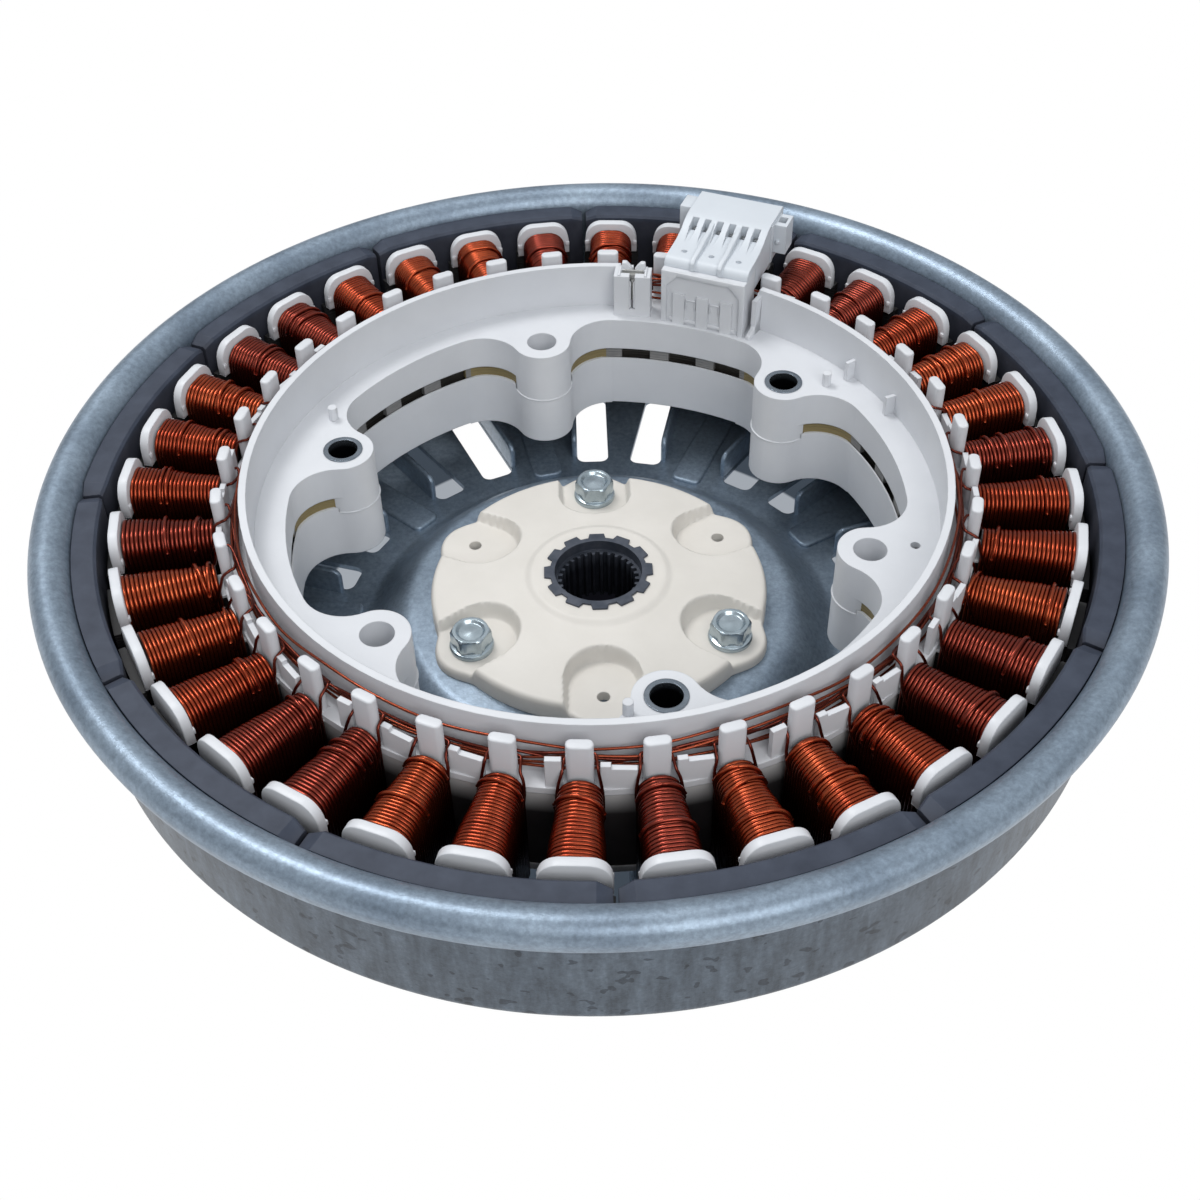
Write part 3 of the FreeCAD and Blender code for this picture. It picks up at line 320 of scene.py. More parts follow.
def laminations(name, inner):
    """Stacked sheets, with a given pair of tones towards the axis and, as painted shade, dark further
    out.
    """
    material, tree, shader = new_material(name)
    where = place(tree)
    grain = noise(tree, where, 90)
    near = ramp(tree, grain, [(0.3, inner[0]), (0.7, inner[1])])
    far = ramp(tree, grain, [(0.3, (0.02, 0.02, 0.022)), (0.7, (0.04, 0.04, 0.04))])
    # Painted shade: dark beyond the yoke, out among the coils.
    out = between(tree, distance_out(tree, where), 0.0895, 0.0905)
    tree.links.new(mixed(tree, out, near, far), shader.inputs["Base Color"])
    shader.inputs["Metallic"].default_value = 0.3
    shader.inputs["Roughness"].default_value = 0.5
    stack = tree.nodes.new("ShaderNodeTexWave")
    stack.wave_type = "BANDS"
    stack.bands_direction = "Z"
    stack.inputs["Scale"].default_value = 320
    tree.links.new(where, stack.inputs["Vector"])
    soft_edges(tree, shader, 0.2, stack.outputs[1], 0.3)
    return material


looks = {
    "galvanised_steel": sheet_steel(),
    "ferrite": ferrite(),
    "ivory_plastic": clouded(
        "ivory", (0.66, 0.63, 0.582), (0.71, 0.68, 0.632), 0.0, 0.5, 60, 0.08, 0.5
    ),
    "white_plastic": clouded(
        "white", (0.64, 0.655, 0.685), (0.69, 0.705, 0.735), 0.0, 0.42, 50, 0.03
    ),
    "connector_plastic": clouded(
        "connector", (0.61, 0.65, 0.695), (0.65, 0.69, 0.735), 0.0, 0.42, 50, 0.03
    ),
    "enamelled_copper": copper("copper", (0.24, 0.031, 0.012), (0.37, 0.064, 0.024)),
    "lamination_steel": laminations("laminations", ((0.02, 0.018, 0.016), (0.04, 0.036, 0.03))),
    "sintered_steel": sintered(),
    "zinc_steel": zinc(),
    "tinned_metal": clouded(
        "tin", (0.42, 0.42, 0.41), (0.55, 0.55, 0.53), 0.8, 0.35, 300, 0.05, 0.2
    ),
}
bright_copper = copper("bright_copper", (0.29, 0.044, 0.016), (0.44, 0.088, 0.031))
dark_copper = copper("dark_copper", (0.18, 0.029, 0.018), (0.28, 0.048, 0.028))
strand_copper = copper("strand_copper", (0.19, 0.035, 0.017), (0.30, 0.062, 0.027))
lead_copper = copper("lead_copper", (0.11, 0.02, 0.013), (0.18, 0.034, 0.019))
lining = slot_lining()
bar_steel = laminations("bar_steel", ((0.20, 0.20, 0.20), (0.29, 0.285, 0.28)))
neck_steel = laminations("neck_steel", ((0.24, 0.19, 0.085), (0.31, 0.245, 0.115)))
slots = {part["node"]: part["material_slot"] for part in frame["record"]["subparts"]}
for name, piece in nodes.items():
    piece.data.materials.clear()
    piece.data.materials.append(looks[slots[name]])


# Meshes


def plan(radius, angle):
    """The (x, y) of a radius and an angle, with angle 0 towards -Y."""
    turn = math.radians(angle)
    return radius * math.sin(turn), -radius * math.cos(turn)


def polar(radius, angle, height):
    """A point in metres from a radius and height in mm, with angle 0 towards -Y."""
    return Vector((*plan(radius, angle), height)) * MM


def finish_piece(name, mesh, slot, body, look=None, sharp=32):
    """The object of a mesh, smooth but for its sharp edges, on its body, with the given look or else
    its slot's.
    """
    for polygon in mesh.polygons:
        polygon.use_smooth = True
    mesh.set_sharp_from_angle(angle=math.radians(sharp))
    mesh.materials.clear()
    mesh.materials.append(look or looks[slot])
    piece = bpy.data.objects.new(name, mesh)
    bpy.context.scene.collection.objects.link(piece)
    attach(piece, body)
    return piece


def mesh_from(name, vertices, faces):
    mesh = bpy.data.meshes.new(name)
    mesh.from_pydata([tuple(vertex) for vertex in vertices], [], faces)
    shape = bmesh.new()
    shape.from_mesh(mesh)
    bmesh.ops.recalc_face_normals(shape, faces=shape.faces)
    shape.to_mesh(mesh)
    shape.free()
    return mesh


def lathe(profile, steps):
    """Vertices and faces of a closed (radius, height) profile turned about the axis."""
    count = len(profile)
    vertices = [polar(r, 360 * step / steps, z) for step in range(steps) for r, z in profile]
    faces = []
    for step in range(steps):
        here = step * count
        there = (step + 1) % steps * count
        for index in range(count):
            after = (index + 1) % count
            faces.append((here + index, here + after, there + after, there + index))
    return vertices, faces


def arc(centre, radius, first, last, count):
    """Points on a circle in a plane, between two angles in degrees."""
    turns = [math.radians(first + (last - first) * step / count) for step in range(count + 1)]
    x, y = centre
    return [(x + radius * math.cos(turn), y + radius * math.sin(turn)) for turn in turns]


def oval(centre, width, depth, count):
    """Points all round an ellipse, or a circle, with the given half width and depth."""
    x, y = centre
    turns = [2 * math.pi * step / count for step in range(count)]
    return [(x + width * math.cos(turn), y + depth * math.sin(turn)) for turn in turns]


def prism(outline, low, high):
    """Vertices and faces of an (x, y) outline between two heights, all in mm."""
    count = len(outline)
    vertices = [Vector((x, y, z)) * MM for z in (low, high) for x, y in outline]
    faces = [tuple(range(count))[::-1], tuple(range(count, 2 * count))]
    faces += [(i, (i + 1) % count, count + (i + 1) % count, count + i) for i in range(count)]
    return vertices, faces


def box(low, high):
    """Vertices and faces of a box between two corners in mm."""
    (left, front, bottom), (right, back, top) = low, high
    return prism([(left, front), (right, front), (right, back), (left, back)], bottom, top)


def joined(parts):
    """One list of vertices and one of faces out of several."""
    vertices, faces = [], []
    for part_vertices, part_faces in parts:
        start = len(vertices)
        vertices += part_vertices
        faces += [tuple(start + index for index in face) for face in part_faces]
    return vertices, faces


def moved(part, matrix):
    return [matrix @ vertex for vertex in part[0]], part[1]


def turned(part, angle):
    return moved(part, Matrix.Rotation(math.radians(angle), 4, "Z"))


def bevelled(name, part, width, segments=2, angle=35):
    """A mesh with its sharp edges rounded off."""
    mesh = mesh_from(name, *part)
    piece = bpy.data.objects.new(name, mesh)
    bpy.context.scene.collection.objects.link(piece)
    soften = piece.modifiers.new("soften", "BEVEL")
    soften.width = width * MM
    soften.segments = segments
    soften.limit_method = "ANGLE"
    soften.angle_limit = math.radians(angle)
    return applied(piece)


def applied(piece):
    """The mesh of a piece with its modifiers, and the piece itself taken away."""
    graph = bpy.context.evaluated_depsgraph_get()
    mesh = bpy.data.meshes.new_from_object(piece.evaluated_get(graph))
    bpy.data.objects.remove(piece)
    return mesh


def cut(name, part, cutters):
    """A part less its cutters, as one mesh."""
    return cut_mesh(name, mesh_from(name, *part), cutters)


def cut_mesh(name, mesh, cutters):
    """A mesh less its cutters, which don't touch one another."""
    piece = bpy.data.objects.new(name, mesh)
    tool = bpy.data.objects.new(f"{name}_cutter", mesh_from(f"{name}_cutter", *cutters))
    bpy.context.scene.collection.objects.link(piece)
    bpy.context.scene.collection.objects.link(tool)
    difference = piece.modifiers.new("cut", "BOOLEAN")
    difference.operation = "DIFFERENCE"
    difference.object = tool
    mesh = applied(piece)
    bpy.data.objects.remove(tool)
    return mesh


def smooth_path(points, steps):
    """Points along a smooth line through the given ones."""
    path = []
    for index in range(len(points) - 1):
        before = points[max(index - 1, 0)]
        start, end = points[index], points[index + 1]
        after = points[min(index + 2, len(points) - 1)]
        for step in range(steps):
            t = step / steps
            path.append(
                0.5
                * (
                    2 * start
                    + (end - before) * t
                    + (2 * before - 5 * start + 4 * end - after) * t**2
                    + (3 * start - before - 3 * end + after) * t**3
                )
            )
    path.append(points[-1])
    return path


def tube(path, radius, sides=8, closed=False):
    """Vertices and faces of a round wire along a path in metres, with a radius in mm."""
    vertices, faces = [], []
    count = len(path)
    for index, point in enumerate(path):
        ahead = path[(index + 1) % count] if closed or index + 1 < count else point
        behind = path[index - 1] if closed or index else point
        along = (ahead - behind).normalized()
        aside = along.cross(Vector((0, 0, 1)))
        aside = aside.normalized() if aside.length > 0.05 else Vector((1, 0, 0))
        rise = aside.cross(along)
        for side in range(sides):
            turn = 2 * math.pi * side / sides
            vertices.append(point + (aside * math.cos(turn) + rise * math.sin(turn)) * radius * MM)
    for index in range(count if closed else count - 1):
        here, there = index * sides, (index + 1) % count * sides
        for side in range(sides):
            after = (side + 1) % sides
            faces.append((here + side, here + after, there + after, there + side))
    if not closed:
        faces.append(tuple(range(sides)))
        faces.append(tuple(range((count - 1) * sides, count * sides))[::-1])
    return vertices, faces


# Rotor


def cup_profile():
    """The sheet's section, from the hub opening outward below and back above."""
    wall = 138.07
    rim_top = 63.9
    roll, roll_z = (wall + 6.0), (rim_top - 6.0)
    edge_z = rim_top - 4.5

    def sheet(offset):
        slope = []
        for step in range(13):
            t = step / 12
            ease = t * t * (3 - 2 * t)
            slope.append((53.4 + 16.6 * t - offset * 0.35, 13.7 - 11.9 * ease - offset))
        floor = slope + [(112.5 + offset * 0.3, SHEET - offset)]
        cone = arc((112.5, SHEET + 6), 6 + offset, -90, -57, 4)[1:]
        return [(22.0, 13.7 - offset)] + floor + cone

    below = sheet(SHEET)
    below += [(131.4 + SHEET, 13.0 - SHEET * 0.8), (131.4 + SHEET, 18.4 - SHEET)]
    below += arc((wall + SHEET - 3.4, 18.4 - SHEET + 3.4), 3.4, -90, 0, 6)
    below += arc((roll, roll_z), 6.0 - SHEET, 180, 90, 7)
    below += arc((roll, edge_z), 4.5 - SHEET, 90, 0, 5)[1:]
    lip = arc((roll + 4.5 - SHEET / 2 - 0.6, edge_z - 2.9), 0.75, -190, 0, 6)
    above = lip + arc((roll, edge_z), 4.5, 0, 90, 10)
    above += arc((roll, roll_z), 6.0, 90, 180, 10)[1:]
    above += [(wall, 18.4), (131.4, 18.4), (131.4, 13.0)]
    return below + above + sheet(0)[::-1]


def rounded(left, bottom, right, top, radius, count=5):
    """The outline of a rectangle with round corners."""
    points = []
    for x, y, first in (
        (right - radius, bottom + radius, -90),
        (right - radius, top - radius, 0),
        (left + radius, top - radius, 90),
        (left + radius, bottom + radius, 180),
    ):
        points += arc((x, y), radius, first, first + 90, count)
    return points


def make_cup():
    """The smooth pressed cup with its louvres cut out, their bent fins and the ribs."""
    openings, fins = [], []
    fin = [(-78.5, 0.1)] + arc((-81.3, 7.4), 2.8, 0, 90, 5)
    fin += arc((-106.0, 7.4), 2.8, 90, 180, 5) + [(-108.8, 0.1)]
    for pair in range(LOUVRE_PAIRS):
        middle = ROTOR_TURN + 29.5 + 360 / LOUVRE_PAIRS * pair
        for side in (-1, 1):
            angle = middle + 6.3 * side
            hole = prism(rounded(-5.05, -111, 5.05, -76.3, 2.6), -3, 4.5)
            openings.append(turned(hole, angle))
            upright = prism(fin, -SHEET / 2, SHEET / 2)
            stand = Matrix(((0, 0, 1, 0), (1, 0, 0, 0), (0, 1, 0, 0), (0, 0, 0, 1)))
            shift = Matrix.Translation(Vector((side * (5.05 + SHEET / 2), 0, 0)) * MM)
            fins.append(turned(moved(moved(upright, stand), shift), angle))
        rib = prism(rounded(-4.8, -111.5, 4.8, -70.5, 2.4), 0.6, SHEET + 1.1)
        fins.append(turned(rib, middle + 180 / LOUVRE_PAIRS))
    mesh = cut("rotor_shell", lathe(cup_profile(), 240), joined(openings))
    cup = finish_piece("rotor_shell", mesh, "galvanised_steel", "rotor")
    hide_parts("rotor_cup")
    mesh = bevelled("louvre_fins", joined(fins), 0.75, 3)
    finish_piece("louvre_fins", mesh, "galvanised_steel", "rotor")


def make_magnets():
    """Ferrite segments with bevelled top edges and ends."""
    parts = []
    inner, outer, bottom, top = 131.7, 137.95, 18.4, 59.6
    half = 14.75
    stations = [-half, -half + 0.5, -half + 1.5] + list(range(-12, 13, 2))
    stations += [half - 1.5, half - 0.5, half]
    for magnet in range(MAGNETS):
        vertices, faces = [], []
        for station in stations:
            near_end = max(0.0, (abs(station) - (half - 1.5)) / 1.5)
            angle = ROTOR_TURN + 360 / MAGNETS * (magnet + 0.5) + station
            drop, back = 1.9 * near_end, 1.0 * near_end
            section = [
                (inner + back, bottom),
                (outer, bottom),
                (outer, top - drop),
                (inner + back + 0.7, top - drop * 0.8),
                (inner + back, top - 0.7 - drop * 0.8),
            ]
            vertices += [polar(r, angle, z) for r, z in section]
        rows = len(section)
        for index in range(len(stations) - 1):
            for k in range(rows):
                a, b = index * rows + k, index * rows + (k + 1) % rows
                faces.append((a, b, b + rows, a + rows))
        faces.append(tuple(range(rows)))
        faces.append(tuple(range((len(stations) - 1) * rows, len(stations) * rows))[::-1])
        parts.append((vertices, faces))
    mesh = mesh_from("magnet_ring", *joined(parts))
    ring = finish_piece("magnet_ring", mesh, "ferrite", "rotor", sharp=18)
    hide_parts("magnets")


def eased(low, high, value):
    """A smooth step from 0 to 1 between two values."""
    t = min(max((value - low) / (high - low), 0), 1)
    return t * t * (3 - 2 * t)


def hub_edge(off):
    """The plate's outer radius at an angle from the nearest lobe, with soft corners."""
    plate, blend = 47.9, 3.0
    aside = BOLT_RADIUS * math.sin(off)
    reach = BOLT_RADIUS * math.cos(off) + math.sqrt(max(10.3**2 - aside**2, 0))
    near = max(blend - abs(reach - plate), 0)
    return max(reach, plate) + near**2 / blend / 4


def hub_top(radius, off, edge):
    """The height of the plate's top: cone, raised ring, U-shaped pockets, round edge."""
    cone = 23.2 - 3.2 * (radius - 20.4) / 27.2
    crown = cone + (24.2 - cone) * (1 - eased(18.6, 21.2, radius))
    aside, along = radius * math.sin(off), radius * math.cos(off)
    reach = math.hypot(aside, along - 38.0) if along < 38.0 else abs(aside)
    height = 16.95 + (crown - 16.95) * eased(9.5, 10.9, reach)
    inward = max(1.5 - (edge - radius), 0)
    return height - 1.5 + math.sqrt(max(1.5**2 - inward**2, 0))


def make_hub():
    """The moulded plate, with its pockets open outward over the lobes."""
    steps, rings = 480, 84
    vertices, faces = [], []
    for step in range(steps):
        angle = 360 / steps * step
        off = math.radians((angle + 30) % 60 - 30)
        edge = hub_edge(off)
        section = [(13.8, 8.0), (13.8, 24.2)]
        for ring in range(1, rings + 1):
            radius = 13.8 + (edge - 13.8) * ring / rings
            section.append((radius, hub_top(radius, off, edge)))
        section += [(edge, 13.75), (21.7, 13.75), (21.7, 8.0)]
        vertices += [polar(r, ROTOR_TURN + angle, z) for r, z in section]
    count = len(section)
    for step in range(steps):
        here, there = step * count, (step + 1) % steps * count
        for index in range(count):
            after = (index + 1) % count
            faces.append((here + index, here + after, there + after, there + index))
    hole = prism(oval((0, -BOLT_RADIUS), 1.8, 1.8, 24), 5, 30)
    holes = [turned(hole, ROTOR_TURN + 120 * k) for k in range(3)]
    mesh = cut("hub_moulding", (vertices, faces), joined(holes))
    piece = finish_piece("hub_moulding", mesh, "ivory_plastic", "rotor", sharp=50)
    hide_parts("hub_plate")


def hexagon_radius(angle, flats):
    """How far a hexagon reaches at an angle, from its width across flats."""
    within = (angle % 60) - 30
    return flats / 2 / math.cos(math.radians(within))


def make_bolts():
    """Flanged hexagon bolts with chamfered, dished heads."""
    steps = 72
    levels = [
        (6.5, 3.0, False),
        (16.95, 3.0, False),
        (16.95, 6.1, False),
        (17.9, 6.2, False),
        (18.4, 5.9, False),
        (18.6, 5.3, False),
        (18.7, 9, True),
        (22.5, 9, True),
        (22.95, 5.45, True),
        (23.3, 5.0, True),
        (23.3, 4.1, False),
        (22.9, 3.7, False),
        (22.5, 3.3, False),
        (22.55, 1.6, False),
        (22.75, 0.6, False),
    ]
    vertices, faces = [], []
    for height, radius, is_hexagon in levels:
        for step in range(steps):
            angle = 360 / steps * step
            reach = min(radius, hexagon_radius(angle, 10.0)) if is_hexagon else radius
            turn = math.radians(angle)
            vertices.append(Vector((reach * math.cos(turn), reach * math.sin(turn), height)) * MM)
    for level in range(len(levels) - 1):
        for step in range(steps):
            a, b = level * steps + step, level * steps + (step + 1) % steps
            faces.append((a, b, b + steps, a + steps))
    faces.append(tuple(range(steps)))
    faces.append(tuple(range((len(levels) - 1) * steps, len(levels) * steps))[::-1])
    shift = Matrix.Translation(Vector((0, -BOLT_RADIUS, 0)) * MM)
    bolts = [turned(moved((vertices, faces), shift), ROTOR_TURN + 60 + 120 * k) for k in range(3)]
    mesh = mesh_from("flanged_bolts", *joined(bolts))
    piece = finish_piece("flanged_bolts", mesh, "zinc_steel", "rotor")
    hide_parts("hub_bolts")


# Stator


def coil_section(half_width, half_height, corner):
    """Points and outward directions round a coil, in the plane across its tooth."""
    points = []
    for across, up, first in ((1, 1, 0), (-1, 1, 90), (-1, -1, 180), (1, -1, 270)):
        for step in range(7):
            turn = math.radians(first + 15 * step)
            out = Vector((math.cos(turn), 0, math.sin(turn)))
            centre = Vector((across * (half_width - corner), 0, up * (half_height - corner)))
            points.append((centre + out * corner, out))
    return points


def coil_size(along):
    """Half the width and height of a coil, from its inner end at 0 to its outer at 1."""
    fuller = 0.4 / (1 + math.exp(-(along - 0.5) * 14))
    return 4.65 + 1.2 * along + fuller, 19.95 + 1.1 * along + fuller


def make_coil(number):
    """Wire wound round one tooth, turn by turn, with a few wires crossing over it."""
    rng = random.Random(number + 3)
    turns = rng.choice((21, 22, 23))
    pitch = 23.6 / turns
    slant = rng.uniform(-0.5, 0.5)
    across_turn = (-1, -0.86, -0.55, 0, 0.55, 0.86)
    vertices, faces = [], []
    stations = [(turn, u) for turn in range(turns) for u in across_turn] + [(turns - 1, 1)]
    jitter = [rng.uniform(-0.07, 0.07) for _ in range(turns)]
    for turn, u in stations:
        along = (turn + 0.5 + u / 2) / turns
        reach = pitch / 2 * math.sqrt(1 - u * u) + jitter[turn]
        half_width, half_height = coil_size(along)
        for point, out in coil_section(half_width, half_height, min(half_width - 0.1, 4.7)):
            spread = Vector((0, -102.3 - 23.6 * along - slant * point.z / 20, 36.2))
            vertices.append((point + out * reach + spread) * MM)
    count = 28
    for ring in range(len(stations) - 1):
        for k in range(count):
            a, b = ring * count + k, ring * count + (k + 1) % count
            faces.append((a, b, b + count, a + count))
    faces.append(tuple(range(count)))
    faces.append(tuple(range((len(stations) - 1) * count, len(stations) * count))[::-1])
    parts = [(vertices, faces)]
    for _ in range(rng.choice((1, 2, 2, 3))):
        start = rng.uniform(0.05, 0.85)
        drift = rng.uniform(-0.12, 0.12)
        path = []
        for k in range(14):
            along = start + drift * k / 13
            half_width, half_height = coil_size(along)
            point, out = coil_section(half_width, half_height, min(half_width - 0.1, 4.7))[k]
            lift = pitch / 2 + 0.45 * math.sin(math.pi * k / 13)
            path.append((point + out * lift + Vector((0, -102.3 - 23.6 * along, 36.2))) * MM)
        first = path[0] + Vector((-2.4, 0, -9)) * MM
        last = path[-1] + Vector((2.4, 0, -9)) * MM
        parts.append(tube(smooth_path([first, *path, last], 2), pitch / 2, 7))
    name = f"winding_{number + 1:02d}"
    look = (looks["enamelled_copper"], bright_copper, dark_copper)[(number * 7 // 3) % 3]
    mesh = mesh_from(name, *turned(joined(parts), STATOR_TURN + PITCH * number))
    # Groove depth per vertex, which drives the painted shade between the turns.
    depths = [1 - math.sqrt(1 - u * u) for _, u in stations for _ in range(count)]
    groove = mesh.attributes.new("groove", "FLOAT", "POINT")
    for item, depth in zip(groove.data, depths):
        item.value = depth
    piece = finish_piece(name, mesh, "enamelled_copper", "stator", look, 60)
    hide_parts(f"coil_{number + 1:02d}")


def make_wires():
    """Crossover wires between the ring wall and the posts, and each coil's two leads."""
    rng = random.Random(11)
    strands = []
    for height, base in ((54.2, 97.3), (56.2, 96.2), (58.2, 97.2), (60.2, 96.0)):
        points = []
        drift = 0.0
        for step in range(TEETH):
            drift = max(-2.2, min(2.2, drift + rng.uniform(-1.8, 1.8)))
            radius = base + rng.uniform(-0.35, 0.35)
            points.append(polar(radius, STATOR_TURN + PITCH * step, height + drift))
        points.append(points[0])
        strands.append(tube(smooth_path(points, 6)[:-1], 0.36, closed=True))
    leads = []
    for tooth in range(TEETH):
        if tooth == CONNECTOR_TOOTH:
            continue
        for side in (-1, 1):
            high = rng.uniform(57.8, 60.4)
            bulge = rng.uniform(0, 0.35)
            route = [
                (5.3 * side, 105.2, 48.6),
                ((5.1 + bulge) * side, 103.6, 51.6),
                ((4.7 + bulge) * side, 102.4, 54.6),
                (4.1 * side, 101.3, high - 1.4),
                (3.75 * side, 99.4, high - 0.3),
                (2.4 * side, 97.6, high),
                (-8.0 * side, 96.3, high - rng.uniform(0.8, 2.4)),
                (-19.0 * side, 94.9, high - rng.uniform(2.0, 3.8)),
            ]
            matrix = Matrix.Rotation(math.radians(STATOR_TURN + PITCH * tooth), 4, "Z")
            points = [matrix @ (Vector((x, -y, z)) * MM) for x, y, z in route]
            leads.append(tube(smooth_path(points, 4), 0.4, 7))
    mesh = mesh_from("crossover_strands", *joined(strands))
    piece = finish_piece("crossover_strands", mesh, "enamelled_copper", "stator", strand_copper, 70)
    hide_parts("crossover_wires")
    mesh = mesh_from("coil_leads", *joined(leads))
    finish_piece("coil_leads", mesh, "enamelled_copper", "stator", lead_copper, 70)


def make_slot_walls():
    """The wall that closes the winding space towards the yoke, between the coils, and
    what shows in the slot between the skirts: the yoke's bars and the lugs' necks."""
    profile = [(99.2, 22.7), (101.2, 22.7), (101.2, 49.7), (99.2, 49.7)]
    mesh = mesh_from("slot_walls", *lathe(profile, 180))
    finish_piece("slot_walls", mesh, "white_plastic", "stator", lining)
    bars = []
    for bar in range(TEETH):
        middle = STATOR_TURN + PITCH * bar - 1.1
        ends = ((86.4, -2), (84.7, -2), (84.7, 0), (84.7, 2), (86.4, 2))
        bars.append(prism([plan(r, middle + a) for r, a in ends], 37.2, 41.6))
    mesh = mesh_from("yoke_bars", *joined(bars))
    finish_piece("yoke_bars", mesh, "lamination_steel", "stator", bar_steel)
    right = arc((19.8, -69.22), 12.8, 196, 286, 12)
    behind = [plan(86.2, a) for a in range(16, -17, -4)]
    left = [(-x, y) for x, y in reversed(right)]
    round_bore = arc((0, -LUG_RADIUS), 7.2, 163.7, 376.3, 16)
    neck = prism(right + behind + left + round_bore, 37.4, 41.4)
    necks = [turned(neck, angle) for angle in LUG_ANGLES]
    mesh = mesh_from("lug_necks", *joined(necks))
    finish_piece("lug_necks", mesh, "lamination_steel", "stator", neck_steel)


def thinned_skirt():
    """The lower insulator with the upper edge of its skirt drawn thin, and with a
    rounded ledge on each lug where the upper boss stands on it."""
    shape = bmesh.new()
    shape.from_mesh(nodes["lower_insulator"].data)
    for vertex in shape.verts:
        radius = math.hypot(vertex.co.x, vertex.co.y) / MM
        if vertex.co.z > 37.6 * MM and radius > 85.6:
            vertex.co.x *= 84.45 / radius
            vertex.co.y *= 84.45 / radius
    mesh = bpy.data.meshes.new("lower_body")
    shape.to_mesh(mesh)
    shape.free()
    piece = finish_piece("lower_body", mesh, "white_plastic", "stator")
    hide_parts("lower_insulator")
    ledges = []
    for angle in LUG_ANGLES:
        ring = oval(plan(LUG_RADIUS, angle), 8.62, 8.62, 48)
        path = [Vector((x, y, 35.9)) * MM for x, y in ring]
        ledges.append(tube(path, 0.32, 6, closed=True))
    finish_piece("lug_ledges", mesh_from("lug_ledges", *joined(ledges)), "white_plastic", "stator")


def trimmed_insulator():
    """The upper insulator's deck, wall, skirt, lugs, tower and guides, without the caps
    and posts, which come back below with round edges."""
    shape = bmesh.new()
    shape.from_mesh(nodes["upper_insulator"].data)
    gone = []
    for vertex in shape.verts:
        radius = math.hypot(vertex.co.x, vertex.co.y) / MM
        angle = math.degrees(math.atan2(vertex.co.x, -vertex.co.y)) - STATOR_TURN
        off = (angle + PITCH / 2) % PITCH - PITCH / 2
        aside = abs(radius * math.sin(math.radians(off)))
        is_post = 98.2 < radius < 102.1 and aside < 3.3 and vertex.co.z > 60 * MM
        is_cap = radius > 125 and vertex.co.z > 50.8 * MM
        if is_post or is_cap:
            gone.append(vertex)
    bmesh.ops.delete(shape, geom=gone, context="VERTS")
    mesh = bpy.data.meshes.new("insulator_body")
    shape.to_mesh(mesh)
    shape.free()
    piece = finish_piece("insulator_body", mesh, "white_plastic", "stator")
    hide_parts("upper_insulator")


def cap_outline(base, top, direction):
    """A cap's outline: an arched crown on round shoulders, and upright sides."""
    rise = direction * 6.2
    left = []
    for step in range(11):
        turn = math.radians(90 * step / 10)
        x = -2.9 - 5.4 * math.cos(turn) ** 0.9
        left.append((x, top - rise + rise * math.sin(turn) ** 0.95))
    half = [(-8.38, base), (-8.38, top - rise - direction * 0.8)] + left
    return half + [(-x, z) for x, z in reversed(half)]


def make_caps():
    """The caps at the ends of the bobbins, above and below, and the posts."""
    upper, lower, posts = [], [], []
    for tooth in range(TEETH):
        angle = STATOR_TURN + PITCH * tooth
        for base, top, direction, caps in ((49.8, 60.0, 1, upper), (22.6, 12.4, -1, lower)):
            cap = prism(cap_outline(base, top, direction), 126.15, 128.75)
            caps.append(turned(moved(cap, FACING), angle))
            for side in (-1, 1):
                reach = sorted((side * 7.0, side * 8.45))
                z = sorted((top - direction * 5.9, top - direction * 7.6))
                caps.append(turned(box((reach[0], -126.3, z[0]), (reach[1], -125.7, z[1])), angle))
        if tooth != CONNECTOR_TOOTH:
            post = prism(rounded(-3.2, -101.5, 3.2, -98.5, 1.35, 4), 50.5, POST_TOP)
            posts.append(turned(post, angle))
            posts.append(turned(box((-3.25, -101.55, 51.0), (3.25, -98.45, 52.1)), angle))
    for name, caps in (("upper_caps", upper), ("lower_caps", lower)):
        finish_piece(name, bevelled(name, joined(caps), 0.35), "white_plastic", "stator")
    mesh = bevelled("wire_posts", joined(posts), 0.5, 3, 50)
    finish_piece("wire_posts", mesh, "white_plastic", "stator")


# Connector and terminal


def housing_profile():
    """The connector's side view: rounded front, low shelf, ramp and flat top."""
    front = 87.2
    lower = [(front, 70.0)]
    nose = arc((front + 2.4, 70.3), 2.4, 180, 90, 5)
    shelf = [(95.0, 72.9), (98.5, 73.3), (102.0, 74.2), (105.0, 75.6), (107.3, 76.4)]
    top = [(109.5, 76.7), (121.2, 76.7), (121.8, 76.1), (121.8, 63.0), (95.2, 63.0), (95.2, 70.0)]
    return lower + nose + shelf + top


def hexahedron(near, far):
    """A solid between two upright rectangles, each as (half width, R, bottom, top)."""
    vertices = []
    for half, radius, bottom, top in (near, far):
        corner = ((-half, bottom), (half, bottom), (half, top), (-half, top))
        vertices += [(x, -radius, z) for x, z in corner]
    faces = [(3, 2, 1, 0), (4, 5, 6, 7), (0, 1, 5, 4), (1, 2, 6, 5), (2, 3, 7, 6), (3, 0, 4, 7)]
    return [Vector(vertex) * MM for vertex in vertices], faces


def across(part, offset):
    """A part moved sideways by an offset in mm."""
    return moved(part, Matrix.Translation(Vector((offset, 0, 0)) * MM))


